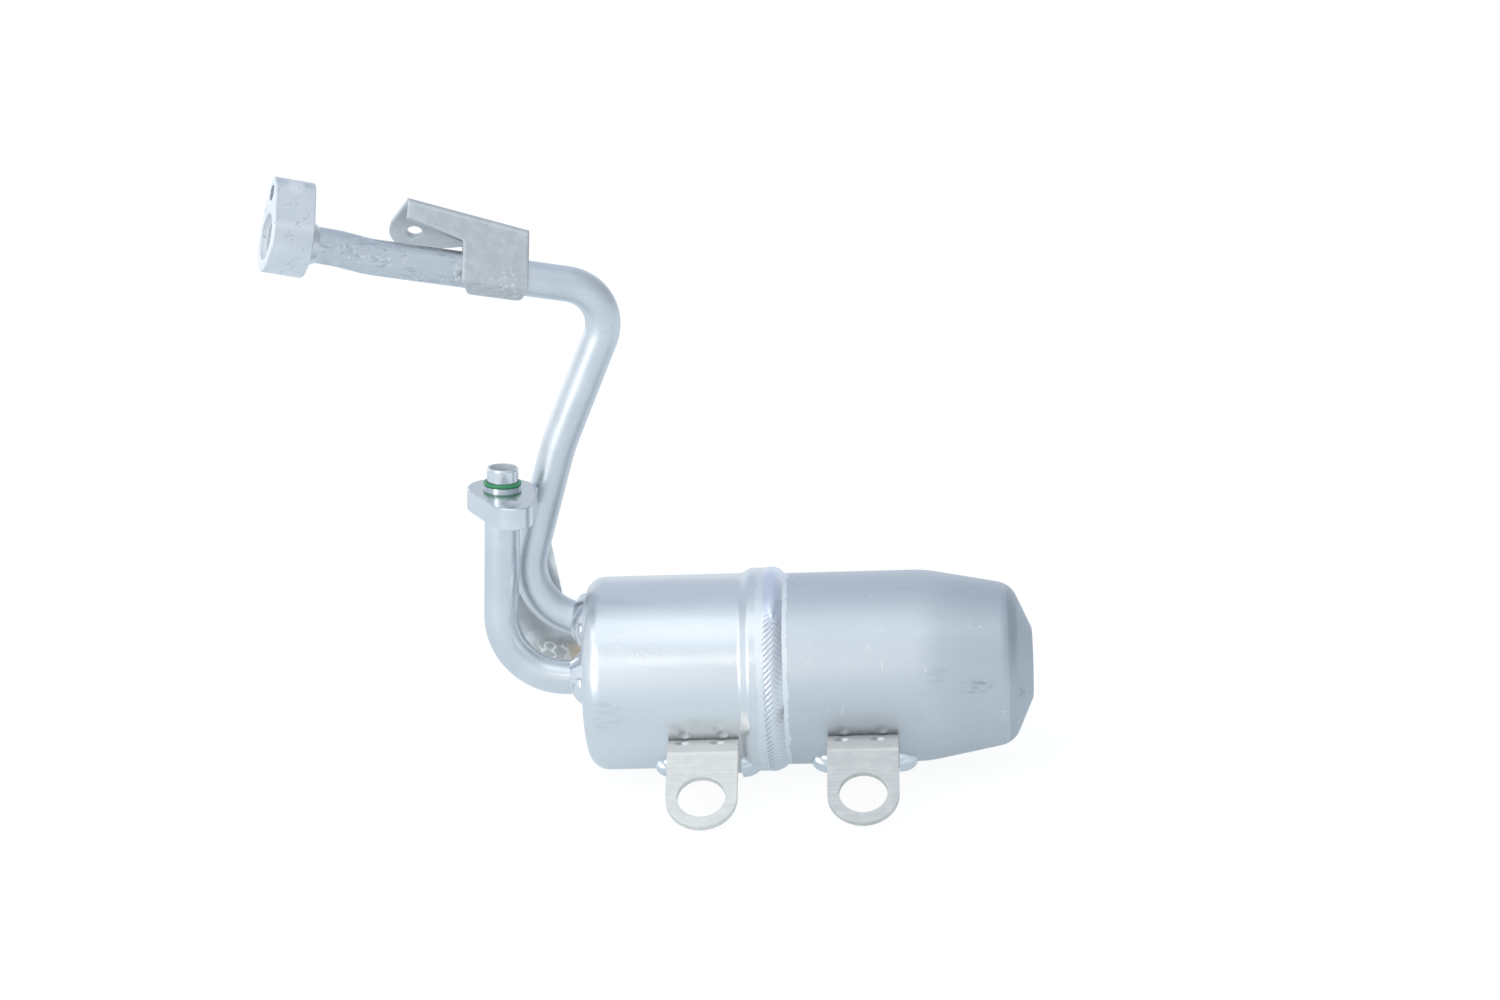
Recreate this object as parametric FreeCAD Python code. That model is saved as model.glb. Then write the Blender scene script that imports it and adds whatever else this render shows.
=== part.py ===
"""Receiver drier of the accumulator type: a welded aluminium tank with two pipes on one end.

Every piece is laid out about the tank's own axis, which is X, from the flat pipe end at X = 0
to the domed end. Z is up and the mounting lugs reach forward, to -Y, and down. At the end all
pieces move together, so that the origin is the middle of the pipe-side lug's large hole.
"""
import FreeCAD, Part
import os
from math import asin, cos, pi, radians, sin, tan

from FreeCAD import Vector

# Tank: two drawn cups, the domed one pushed into the bell of the flat one
TANK_DIAMETER = 89.0
TANK_LENGTH = 204.5
TANK_WALL = 2.7
DOMED_CUP_STEP = 0.5
FLAT_END_CORNER = 9.0
BELL_MOUTH = 82.5
BELL_LENGTH = 6.5
JOGGLE_LENGTH = 4.0
JOGGLE_BEND = 3.0
BELL_CLEARANCE = 0.1
CUP_OVERLAP = 6.0
WELD_TOE_LENGTH = 9.0
WELD_CROWN = 0.5
WELD_CROWN_POSITION = 3.6

# Domed end: a slight cone, a round shoulder, a steep cone and a small flat nose
DOME_CONE_LENGTH = 48.6
DOME_CONE_ANGLE = 10.8
DOME_CONE_BLEND = 59.0
SHOULDER_LENGTH = 9.2
SHOULDER_RADIUS = 11.5
NOSE_RADIUS = 16.0
NOSE_BLEND = 3.0

# Tubes
TUBE_DIAMETER = 16.0
TUBE_WALL = 1.5
TUBE_INSERTION = 5.0
PORT_BEAD_WIDTH = 5.2
PORT_BEAD_HEIGHT = 8.4
PORT_BEAD_SHOULDER = (3.8, 4.2)
PORT_BEAD_LIP = 0.6

# Short tube: out of the flat end, then up, leaning a little towards the tank
SHORT_TUBE_Y = -4.0
SHORT_TUBE_REACH = 40.5
SHORT_TUBE_RISE = 91.8
SHORT_TUBE_BEND = 29.0
SHORT_TUBE_LEAN = 4.0

# Long tube: out of the flat end, up behind the short one, over its top bend and to the left.
# Its corners are the bend table of the real tube, from the tank outwards.
LONG_TUBE_Y = 13.4
LONG_TUBE_Z = 21.5
LONG_TUBE_LOW_CORNER = Vector(-35.5, LONG_TUBE_Y, LONG_TUBE_Z)
LONG_TUBE_KINK = Vector(-9.5, LONG_TUBE_Y, 106.2)
LONG_TUBE_TOP_CORNER = Vector(22.1, LONG_TUBE_Y, 177.3)
LONG_TUBE_SWAY = Vector(-83.7, -22.4, 204.0)
LONG_TUBE_NECK = Vector(-97.0, -26.7, 209.1)
LONG_TUBE_PORT = Vector(-125.8, -37.2, 217.5)
LONG_TUBE_BENDS = (27.0, 120.0, 20.5, 60.0, 60.0)

# Male block on the short tube
MALE_BLOCK_THICKNESS = 10.0
MALE_LOBE_RADIUS = 16.0
MALE_BOLT_LOBE_RADIUS = 9.5
MALE_BOLT_PITCH = 26.0
MALE_BOLT_TURN = 16.0
MALE_BOLT_HOLE = 8.6
SPIGOT_DIAMETER = 14.3
SPIGOT_BORE = 11.6
SPIGOT_HEIGHT = 9.5
SPIGOT_LEAD_IN = 0.8
SPIGOT_COLLAR_DIAMETER = 16.7
SPIGOT_COLLAR_HEIGHT = 1.3
RING_SECTION = 1.9
RING_CLEARANCE = 0.03
RING_GROOVE_WIDTH = 2.1
RING_GROOVE_DEPTH = 0.4
TUBE_SOCKET_DEPTH = 6.0
SOCKET_CLEARANCE = 0.05

# Female block on the long tube
FEMALE_BLOCK_THICKNESS = 18.0
FEMALE_LOBE_RADIUS = 15.5
FEMALE_BOLT_LOBE_RADIUS = 7.2
FEMALE_BOLT_PITCH = 19.4
FEMALE_BLOCK_ROLL = 15.0
FEMALE_BOLT_HOLE = 7.0
PORT_SOCKET_CLEARANCE = 0.15
PORT_SOCKET_DEPTH = 9.0
RING_SEAT_DIAMETER = 20.4
RING_SEAT_DEPTH = 2.2
BLOCK_EDGE = 0.5
BRAZE_COLLAR_WIDTH = 2.4
BRAZE_COLLAR_LENGTH = 4.0
BRAZE_COLLAR_LIP = 0.4

# Mounting lugs: pressed plate with a foot formed to the tank, one bend and a round-ended arm
LUG_THICKNESS = 3.0
LUG_WIDTH = 32.0
LUG_HOLE = 21.6
LUG_PITCH = 72.0
LUG_BEND_RADIUS = 3.0
LUG_BEND_POSITION = 208.5
LUG_FOOT_ANGLE = 46.0
LUG_ARM_HEADING = 214.0
LUG_ARM_TO_HOLE = 27.9
LUG_TO_JOGGLE = 1.4
LUG_DIMPLE_RADIUS = 4.0
LUG_DIMPLE_DEPTH = 1.1
LUG_DIMPLE_OFFSET = 8.7
LUG_BEAD_START = 20.0
LUG_BEAD_WIDTH = 8.0
LUG_BEAD_HEIGHT = 4.5
LUG_BEAD_SHOULDER = (3.6, 3.2)

# Bracket: steel sheet folded to a channel that hugs the long tube, with a tab on its back flange
BRACKET_THICKNESS = 2.5
BRACKET_FROM_TOP_CORNER = 45.1
BRACKET_BODY_LENGTH = 30.0
BRACKET_STRIP_LENGTH = 55.5
BRACKET_WEB_PITCH = 35.0
BRACKET_FLANGE_PITCH = 54.0
BRACKET_RIDGE_HEIGHT = 18.9
BRACKET_RIDGE_SLOPE = 7.7
BRACKET_STRIP_END = 9.5
BRACKET_STRIP_ROOT = 13.6
BRACKET_RETURN_LENGTH = 13.0
BRACKET_RETURN_SLANT = 5.5
BRACKET_RETURN_CORNER = 3.0
BRACKET_FLANGE_ROOT = 6.0
BRACKET_TAB_HOLE = 7.0
BRACKET_TAB_RADIUS = 11.2
BRACKET_TAB_FROM_END = 7.9
BRACKET_TAB_DEPTH = 17.1
BRACKET_FOLD = 1.6

# Brace plate behind the two tubes, beside the flat end
BRACE_THICKNESS = 1.5
BRACE_TOP = 78.0
BRACE_BOTTOM = -9.0
BRACE_LEFT = -41.0
BRACE_KNEE_HEIGHT = 14.0
BRACE_SIDE_HEIGHT = 42.0
BRACE_FOOT_LEFT = -26.0
BRACE_TOP_LEFT = -27.5
BRACE_TOP_RIGHT = -19.8
BRACE_LOW_RIGHT = -9.5
BRACE_LOW_RIGHT_HEIGHT = 10.0
BRACE_CORNER = 4.0
BRACE_SHARP_CORNER = 1.0
BRACE_BRAZE_START = 38.0
BRACE_BRAZE_LENGTH = 14.0
BRAZE_FILLET_WIDTH = 4.2
BRAZE_FILLET_HEIGHT = 1.2

# Inside the tank
SUCTION_TUBE_CLEARANCE = 0.05
SUCTION_TUBE_WALL = 1.2
SUCTION_LEG_TO_WALL = 11.3
SUCTION_LEG_TURN = 127.0
SUCTION_BEND_TO_END = 41.5
SUCTION_MOUTH = 26.0
BLEED_HOLE = 1.6
DEFLECTOR_POSITION = 14.0
DEFLECTOR_CLEARANCE = 4.8
DEFLECTOR_DEPTH = 7.0
DEFLECTOR_THICKNESS = 1.2
DEFLECTOR_CORNER = 3.0
CAGE_RADIUS = 9.0
CAGE_LENGTH = 4.5
CAGE_WALL = 1.5
CAGE_BASE_IN_TUBE = 1.3
CAGE_WINDOWS = 6
CAGE_WINDOW_WIDTH = 4.5
CAGE_WINDOW_LENGTH = 5.0
SCREEN_THICKNESS = 0.4
SCREEN_OVERLAP = 0.5
FIT_GAP = 0.1
CLIP_POSITION = 44.0
CLIP_WIDTH = 6.0
CLIP_RIM = 2.0
BAG_START = 58.0
BAG_TO_END = 48.5
BAG_TO_WALL = 22.6
BAG_HALF_THICKNESS = 10.0
BAG_END_ROUNDING = 4.0
BAG_SHIFT = (2.0, -8.0)
BAG_WEB_THICKNESS = 2.0
BAG_GAP = 0.3
TIE_WIDTH = 5.0
TIE_THICKNESS = 1.0

# Worked out from the sizes above
TANK_RADIUS = TANK_DIAMETER / 2
DOMED_RADIUS = TANK_RADIUS - DOMED_CUP_STEP
TUBE_RADIUS = TUBE_DIAMETER / 2
TUBE_BORE_RADIUS = TUBE_RADIUS - TUBE_WALL
CONE_START = TANK_LENGTH - DOME_CONE_LENGTH
BELL_RADIUS = DOMED_RADIUS + BELL_CLEARANCE + TANK_WALL
INNER_RADIUS = DOMED_RADIUS - TANK_WALL
SUCTION_LEG_PITCH = INNER_RADIUS - SUCTION_LEG_TO_WALL
BAG_HALF_WIDTH = INNER_RADIUS - BAG_TO_WALL
SUCTION_BEND_CENTRE = TANK_LENGTH - SUCTION_BEND_TO_END
BAG_END = TANK_LENGTH - BAG_TO_END
DEFLECTOR_RADIUS = TANK_RADIUS - TANK_WALL - DEFLECTOR_CLEARANCE
LUG_HALF = LUG_WIDTH / 2
X_AXIS = Vector(1, 0, 0)
Y_AXIS = Vector(0, 1, 0)
Z_AXIS = Vector(0, 0, 1)
ORIGIN = Vector(0, 0, 0)


def around_axis(radius, degrees, x=0.0):
    """Point at an angle about the tank's axis, from +Y towards +Z."""
    return Vector(x, radius * cos(radians(degrees)), radius * sin(radians(degrees)))


def turned(vector, axis, degrees):
    return FreeCAD.Rotation(axis, degrees).multVec(vector)


def rounded_edges(corners, radii):
    """Straight runs between the corners, with a tangent arc of the given radius at each inner one."""
    edges = []
    start = corners[0]
    for before, corner, after, radius in zip(corners, corners[1:], corners[2:], radii):
        back = (before - corner).normalize()
        ahead = (after - corner).normalize()
        half_turn = (pi - back.getAngle(ahead)) / 2
        first = corner + back * radius * tan(half_turn)
        last = corner + ahead * radius * tan(half_turn)
        bisector = (back + ahead).normalize()
        middle = corner + bisector * radius * (1 / cos(half_turn) - 1)
        edges.append(Part.LineSegment(start, first).toShape())
        edges.append(Part.Arc(first, middle, last).toShape())
        start = last
    edges.append(Part.LineSegment(start, corners[-1]).toShape())
    return edges


def closed_face(corners, radii):
    """Flat face with rounded corners; it starts in the middle of its last side."""
    start = (corners[0] + corners[-1]) * 0.5
    return Part.Face(Part.Wire(rounded_edges([start] + corners + [start], radii)))


def rod_along(corners, radii, radius):
    """Round bar along straight runs and bends."""
    path = Part.Wire(rounded_edges(corners, radii))
    circle = Part.makeCircle(radius, corners[0], corners[1] - corners[0])
    return path.makePipeShell([Part.Wire(circle)], True, False)


def tube_along(corners, radii, outer, inner):
    return rod_along(corners, radii, outer).cut(rod_along(corners, radii, inner))


def ring_section(points, centre, axis):
    """Ring turned from a section given as (along the axis, radius) pairs."""
    side = axis.cross(Z_AXIS if abs(axis.z) < 0.9 else X_AXIS).normalize()
    corners = [centre + axis * along + side * radius for along, radius in points]
    return Part.Face(Part.makePolygon(corners + [corners[0]])).revolve(centre, axis, 360)


def two_lobe_face(radius, far_radius, pitch):
    """Outline of two round lobes and the straight flanks that touch both; the far one lies on +Y."""
    flank = asin((radius - far_radius) / pitch)
    side = Vector(cos(flank), sin(flank), 0)
    mirrored = Vector(-side.x, side.y, 0)
    far = Vector(0, pitch, 0)
    edges = [
        Part.Arc(mirrored * radius, Vector(0, -radius, 0), side * radius),
        Part.LineSegment(side * radius, far + side * far_radius),
        Part.Arc(far + side * far_radius, far + Y_AXIS * far_radius, far + mirrored * far_radius),
        Part.LineSegment(far + mirrored * far_radius, mirrored * radius),
    ]
    return Part.Face(Part.Wire([edge.toShape() for edge in edges]))


def seated(shape, origin, outward, sideways):
    """Moves a piece made at the origin: its Z goes outward and its Y sideways."""
    across = sideways.cross(outward)
    shape.Placement = FreeCAD.Placement(origin, FreeCAD.Rotation(across, sideways, outward, "ZYX"))
    return shape


def flat_end_profile():
    """Outside of the flat cup, from the middle of its end to the bell's mouth, as (x, radius)."""
    joggle_end = JOGGLE_START + JOGGLE_LENGTH
    corners = [(0, 0), (0, TANK_RADIUS), (JOGGLE_START, TANK_RADIUS),
               (joggle_end, BELL_RADIUS), (joggle_end + BELL_LENGTH, BELL_RADIUS)]
    return corners, (FLAT_END_CORNER, JOGGLE_BEND, JOGGLE_BEND)


def domed_end_profile(start):
    """Outside of the domed cup, from its open edge to the middle of the nose, as (x, radius)."""
    shoulder_x = TANK_LENGTH - SHOULDER_LENGTH
    shoulder_radius = DOMED_RADIUS - (shoulder_x - CONE_START) * tan(radians(DOME_CONE_ANGLE))
    corners = [(start, DOMED_RADIUS), (CONE_START, DOMED_RADIUS), (shoulder_x, shoulder_radius),
               (TANK_LENGTH, NOSE_RADIUS), (TANK_LENGTH, 0)]
    return corners, (DOME_CONE_BLEND, SHOULDER_RADIUS, NOSE_BLEND)


def hollow_cup(profile, open_x):
    """Cup turned from an outside profile, with an even wall and an open end at one X."""
    corners, radii = profile
    edges = rounded_edges([Vector(x, radius, 0) for x, radius in corners], radii)
    foot, top = (corners[-1], corners[0]) if corners[0][1] == 0 else (corners[0], corners[-1])
    edges.append(Part.LineSegment(Vector(foot[0], foot[1], 0), Vector(foot[0], 0, 0)).toShape())
    edges.append(Part.LineSegment(Vector(foot[0], 0, 0), Vector(top[0], 0, 0)).toShape())
    outline = Part.Wire(Part.__sortEdges__(edges))
    solid = Part.Face(outline).revolve(ORIGIN, X_AXIS, 360)
    mouths = [face for face in solid.Faces
              if abs(face.BoundBox.XMin - open_x) < 1e-6 and abs(face.BoundBox.XMax - open_x) < 1e-6]
    return solid.makeThickness(mouths, -TANK_WALL, 1e-4)


JOGGLE_START = BELL_MOUTH - BELL_LENGTH - JOGGLE_LENGTH
DOMED_CUP_START = BELL_MOUTH - CUP_OVERLAP
PIPE_SIDE_LUG_X = JOGGLE_START - LUG_TO_JOGGLE - LUG_HALF
CLOSED_SIDE_LUG_X = PIPE_SIDE_LUG_X + LUG_PITCH

# Centrelines of the tubes
short_start = Vector(TANK_WALL + TUBE_INSERTION, SHORT_TUBE_Y, 0)
short_heading = Vector(sin(radians(SHORT_TUBE_LEAN)), 0, cos(radians(SHORT_TUBE_LEAN)))
short_corner = Vector(-SHORT_TUBE_REACH, SHORT_TUBE_Y, 0)
short_face = short_corner + short_heading * SHORT_TUBE_RISE
short_end = short_face - short_heading * (MALE_BLOCK_THICKNESS - TUBE_SOCKET_DEPTH)
short_route = [short_start, short_corner, short_end]

long_start = Vector(TANK_WALL + TUBE_INSERTION, LONG_TUBE_Y, LONG_TUBE_Z)
long_heading = (LONG_TUBE_PORT - LONG_TUBE_NECK).normalize()
long_end = LONG_TUBE_PORT - long_heading * (FEMALE_BLOCK_THICKNESS - TUBE_SOCKET_DEPTH)
long_route = [long_start, LONG_TUBE_LOW_CORNER, LONG_TUBE_KINK, LONG_TUBE_TOP_CORNER,
              LONG_TUBE_SWAY, LONG_TUBE_NECK, long_end]


def make_tubes():
    short = tube_along(short_route, [SHORT_TUBE_BEND], TUBE_RADIUS, TUBE_BORE_RADIUS)
    long = tube_along(long_route, LONG_TUBE_BENDS, TUBE_RADIUS, TUBE_BORE_RADIUS)
    return short, long


def make_shells():
    """Two cups; the flat one has a hole for each tube, cut to the tube itself."""
    flat = hollow_cup(flat_end_profile(), BELL_MOUTH)
    for route, radii in ((short_route, [SHORT_TUBE_BEND]), (long_route, LONG_TUBE_BENDS)):
        flat = flat.cut(rod_along(route, radii, TUBE_RADIUS))
    domed = hollow_cup(domed_end_profile(DOMED_CUP_START), DOMED_CUP_START)
    return flat, domed


def make_girth_weld():
    """Bead that fills the step from the bell's edge down to the domed cup."""
    toe = BELL_MOUTH + WELD_TOE_LENGTH
    foot = Vector(BELL_MOUTH, DOMED_RADIUS, 0)
    crest = Vector(BELL_MOUTH, BELL_RADIUS, 0)
    crown = Vector(BELL_MOUTH + WELD_CROWN_POSITION, BELL_RADIUS - WELD_CROWN, 0)
    end = Vector(toe, DOMED_RADIUS, 0)
    outline = [Part.LineSegment(foot, crest), Part.Arc(crest, crown, end), Part.LineSegment(end, foot)]
    return Part.Face(Part.Wire([edge.toShape() for edge in outline])).revolve(ORIGIN, X_AXIS, 360)


def make_port_weld(y, z, tube, shell):
    """Cone of weld round a tube where it enters the flat end."""
    foot = TUBE_RADIUS - TUBE_WALL
    shoulder_height, shoulder_width = PORT_BEAD_SHOULDER
    section = [(0, foot), (0, TUBE_RADIUS + PORT_BEAD_WIDTH),
               (-shoulder_height, TUBE_RADIUS + shoulder_width),
               (-PORT_BEAD_HEIGHT, TUBE_RADIUS + PORT_BEAD_LIP), (-PORT_BEAD_HEIGHT, foot)]
    return ring_section(section, Vector(0, y, z), X_AXIS).cut(tube).cut(shell)


def make_male_block():
    """Machined block with a spigot, turned and drilled on one axis, and a bolt lobe."""
    plate = two_lobe_face(MALE_LOBE_RADIUS, MALE_BOLT_LOBE_RADIUS, MALE_BOLT_PITCH)
    plate.translate(Vector(0, 0, -MALE_BLOCK_THICKNESS))
    block = plate.extrude(Z_AXIS * MALE_BLOCK_THICKNESS)
    rims = [edge for edge in block.Edges if edge.BoundBox.ZLength < 1e-6]
    block = block.makeChamfer(BLOCK_EDGE, rims)
    collar = Part.makeCylinder(SPIGOT_COLLAR_DIAMETER / 2, SPIGOT_COLLAR_HEIGHT)
    lead_in = Part.makeCone(SPIGOT_DIAMETER / 2, SPIGOT_DIAMETER / 2 - SPIGOT_LEAD_IN / 2, SPIGOT_LEAD_IN,
                            Vector(0, 0, SPIGOT_HEIGHT - SPIGOT_LEAD_IN))
    groove_radius = SPIGOT_DIAMETER / 2 - RING_GROOVE_DEPTH
    groove_end = SPIGOT_COLLAR_HEIGHT + RING_GROOVE_WIDTH
    groove_floor = Part.makeCylinder(groove_radius, groove_end)
    spigot = Part.makeCylinder(SPIGOT_DIAMETER / 2, SPIGOT_HEIGHT - SPIGOT_LEAD_IN - groove_end,
                               Vector(0, 0, groove_end))
    block = block.fuse([collar, groove_floor, spigot, lead_in]).removeSplitter()
    bore_length = MALE_BLOCK_THICKNESS + SPIGOT_HEIGHT
    bore = Part.makeCylinder(SPIGOT_BORE / 2, bore_length, Vector(0, 0, -MALE_BLOCK_THICKNESS))
    socket = Part.makeCylinder(TUBE_RADIUS + SOCKET_CLEARANCE, TUBE_SOCKET_DEPTH,
                               Vector(0, 0, -MALE_BLOCK_THICKNESS))
    bolt_hole = Part.makeCylinder(MALE_BOLT_HOLE / 2, MALE_BLOCK_THICKNESS,
                                  Vector(0, MALE_BOLT_PITCH, -MALE_BLOCK_THICKNESS))
    return block.cut([bore, socket, bolt_hole])


def make_o_ring():
    """Seal ring that sits in the spigot's shallow groove, on the collar."""
    centre_radius = (SPIGOT_DIAMETER + RING_SECTION) / 2 - RING_GROOVE_DEPTH + RING_CLEARANCE
    height = SPIGOT_COLLAR_HEIGHT + RING_SECTION / 2 + RING_CLEARANCE
    return Part.makeTorus(centre_radius, RING_SECTION / 2, Vector(0, 0, height))


def make_female_block():
    """Machined block whose port takes a spigot and its seal ring, with a bolt lobe."""
    outline = two_lobe_face(FEMALE_LOBE_RADIUS, FEMALE_BOLT_LOBE_RADIUS, FEMALE_BOLT_PITCH)
    outline.translate(Vector(0, 0, -FEMALE_BLOCK_THICKNESS))
    block = outline.extrude(Z_AXIS * FEMALE_BLOCK_THICKNESS)
    rims = [edge for edge in block.Edges if edge.BoundBox.ZLength < 1e-6]
    block = block.makeChamfer(BLOCK_EDGE, rims)
    port_radius = SPIGOT_DIAMETER / 2 + PORT_SOCKET_CLEARANCE
    port = Part.makeCylinder(port_radius, PORT_SOCKET_DEPTH, Vector(0, 0, -PORT_SOCKET_DEPTH))
    seat = Part.makeCylinder(RING_SEAT_DIAMETER / 2, RING_SEAT_DEPTH, Vector(0, 0, -RING_SEAT_DEPTH))
    bore = Part.makeCylinder(TUBE_BORE_RADIUS, FEMALE_BLOCK_THICKNESS, Vector(0, 0, -FEMALE_BLOCK_THICKNESS))
    socket = Part.makeCylinder(TUBE_RADIUS + SOCKET_CLEARANCE, TUBE_SOCKET_DEPTH,
                               Vector(0, 0, -FEMALE_BLOCK_THICKNESS))
    bolt_hole = Part.makeCylinder(FEMALE_BOLT_HOLE / 2, FEMALE_BLOCK_THICKNESS,
                                  Vector(0, FEMALE_BOLT_PITCH, -FEMALE_BLOCK_THICKNESS))
    return block.cut([port, seat, bore, socket, bolt_hole])


def make_braze_collar(face_distance):
    """Ring of filler behind a block, where its tube goes in."""
    section = [(-face_distance, TUBE_RADIUS), (-face_distance, TUBE_RADIUS + BRAZE_COLLAR_WIDTH),
               (-face_distance - BRAZE_COLLAR_LENGTH, TUBE_RADIUS + BRAZE_COLLAR_LIP),
               (-face_distance - BRAZE_COLLAR_LENGTH, TUBE_RADIUS)]
    return ring_section(section, ORIGIN, Z_AXIS)


def make_lug(x, tank_radius):
    """Pressed lug: foot formed to the tank, one bend away from it, and an arm with a round end."""
    outer_bend = LUG_BEND_RADIUS + LUG_THICKNESS
    bend_centre = around_axis(tank_radius + outer_bend, LUG_BEND_POSITION)
    foot_end = LUG_BEND_POSITION + LUG_FOOT_ANGLE
    foot_middle = LUG_BEND_POSITION + LUG_FOOT_ANGLE / 2
    arm = around_axis(1.0, LUG_ARM_HEADING)
    arm_up = around_axis(1.0, LUG_ARM_HEADING - 90)
    towards_tank = around_axis(-1.0, LUG_BEND_POSITION)
    bend_middle = (arm_up + towards_tank).normalize()
    top_root = bend_centre + arm_up * outer_bend
    back_root = bend_centre + arm_up * LUG_BEND_RADIUS
    arm_length = LUG_ARM_TO_HOLE + LUG_HALF
    back_radius = tank_radius + LUG_THICKNESS
    outline = [
        Part.Arc(around_axis(tank_radius, foot_end), around_axis(tank_radius, foot_middle),
                 around_axis(tank_radius, LUG_BEND_POSITION)),
        Part.Arc(around_axis(tank_radius, LUG_BEND_POSITION), bend_centre + bend_middle * outer_bend, top_root),
        Part.LineSegment(top_root, top_root + arm * arm_length),
        Part.LineSegment(top_root + arm * arm_length, back_root + arm * arm_length),
        Part.LineSegment(back_root + arm * arm_length, back_root),
        Part.Arc(back_root, bend_centre + bend_middle * LUG_BEND_RADIUS,
                 around_axis(back_radius, LUG_BEND_POSITION)),
        Part.Arc(around_axis(back_radius, LUG_BEND_POSITION), around_axis(back_radius, foot_middle),
                 around_axis(back_radius, foot_end)),
        Part.LineSegment(around_axis(back_radius, foot_end), around_axis(tank_radius, foot_end)),
    ]
    section = Part.Face(Part.Wire([edge.toShape() for edge in outline]))
    section.translate(X_AXIS * (x - LUG_HALF))
    plate = section.extrude(X_AXIS * LUG_WIDTH)
    hole_centre = back_root + arm * LUG_ARM_TO_HOLE + X_AXIS * x
    corner_block = Part.makeBox(LUG_WIDTH, LUG_HALF, LUG_THICKNESS, Vector(-LUG_HALF, 0, 0))
    round_end = Part.makeCylinder(LUG_HALF, LUG_THICKNESS)
    corners = seated(corner_block.cut(round_end), hole_centre, arm_up, arm)
    hole = Part.makeCylinder(LUG_HOLE / 2, LUG_THICKNESS, hole_centre, arm_up)
    plate = plate.cut([corners, hole])
    dimples = []
    for side in (-1, 1):
        spot = bend_centre + X_AXIS * (x + side * LUG_DIMPLE_OFFSET)
        outside = outer_bend + LUG_DIMPLE_RADIUS - LUG_DIMPLE_DEPTH
        dimples.append(Part.makeSphere(LUG_DIMPLE_RADIUS, spot + bend_middle * outside))
    return plate.cut(dimples), hole_centre + arm_up * (LUG_THICKNESS / 2), arm_up


def make_lug_welds(x, tank_radius, neighbours):
    """Fillet bead along each side of a lug's foot."""
    start = LUG_BEND_POSITION + LUG_BEAD_START
    shoulder_width, shoulder_height = LUG_BEAD_SHOULDER
    beads = []
    for side in (-1, 1):
        edge = x + side * LUG_HALF
        far = edge + side * LUG_BEAD_WIDTH
        points = [Vector(edge, tank_radius, 0), Vector(far, tank_radius, 0),
                  Vector(edge + side * shoulder_width, tank_radius + shoulder_height, 0),
                  Vector(edge, tank_radius + LUG_BEAD_HEIGHT, 0)]
        section = Part.Face(Part.makePolygon(points + [points[0]]))
        section.rotate(ORIGIN, X_AXIS, start)
        bead = section.revolve(ORIGIN, X_AXIS, LUG_FOOT_ANGLE - LUG_BEAD_START)
        for neighbour in neighbours:
            bead = bead.cut(neighbour)
        beads += bead.Solids
    return Part.makeCompound(beads)


def bracket_frame():
    """Directions of the bracket's body: along the tube, out of its web, up its web, and its flange."""
    along = (LONG_TUBE_SWAY - LONG_TUBE_TOP_CORNER).normalize()
    forward = Vector(along.y, -along.x, 0).normalize()
    forward = forward if forward.y < 0 else forward * -1
    upward = along.cross(forward).normalize()
    upward = upward if upward.z > 0 else upward * -1
    face = forward * cos(radians(BRACKET_WEB_PITCH)) + upward * sin(radians(BRACKET_WEB_PITCH))
    rise = upward * cos(radians(BRACKET_WEB_PITCH)) - forward * sin(radians(BRACKET_WEB_PITCH))
    ridge = along * cos(radians(BRACKET_RIDGE_SLOPE)) + rise * sin(radians(BRACKET_RIDGE_SLOPE))
    drop = (forward * cos(radians(BRACKET_FLANGE_PITCH)) + upward * sin(radians(BRACKET_FLANGE_PITCH))) * -1
    depth = (drop - ridge * drop.dot(ridge)).normalize()
    return along, face, rise, ridge, depth


def plate_from(corners, direction, thickness):
    """Flat sheet with straight edges."""
    return Part.Face(Part.makePolygon(corners + [corners[0]])).extrude(direction * thickness)


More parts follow.
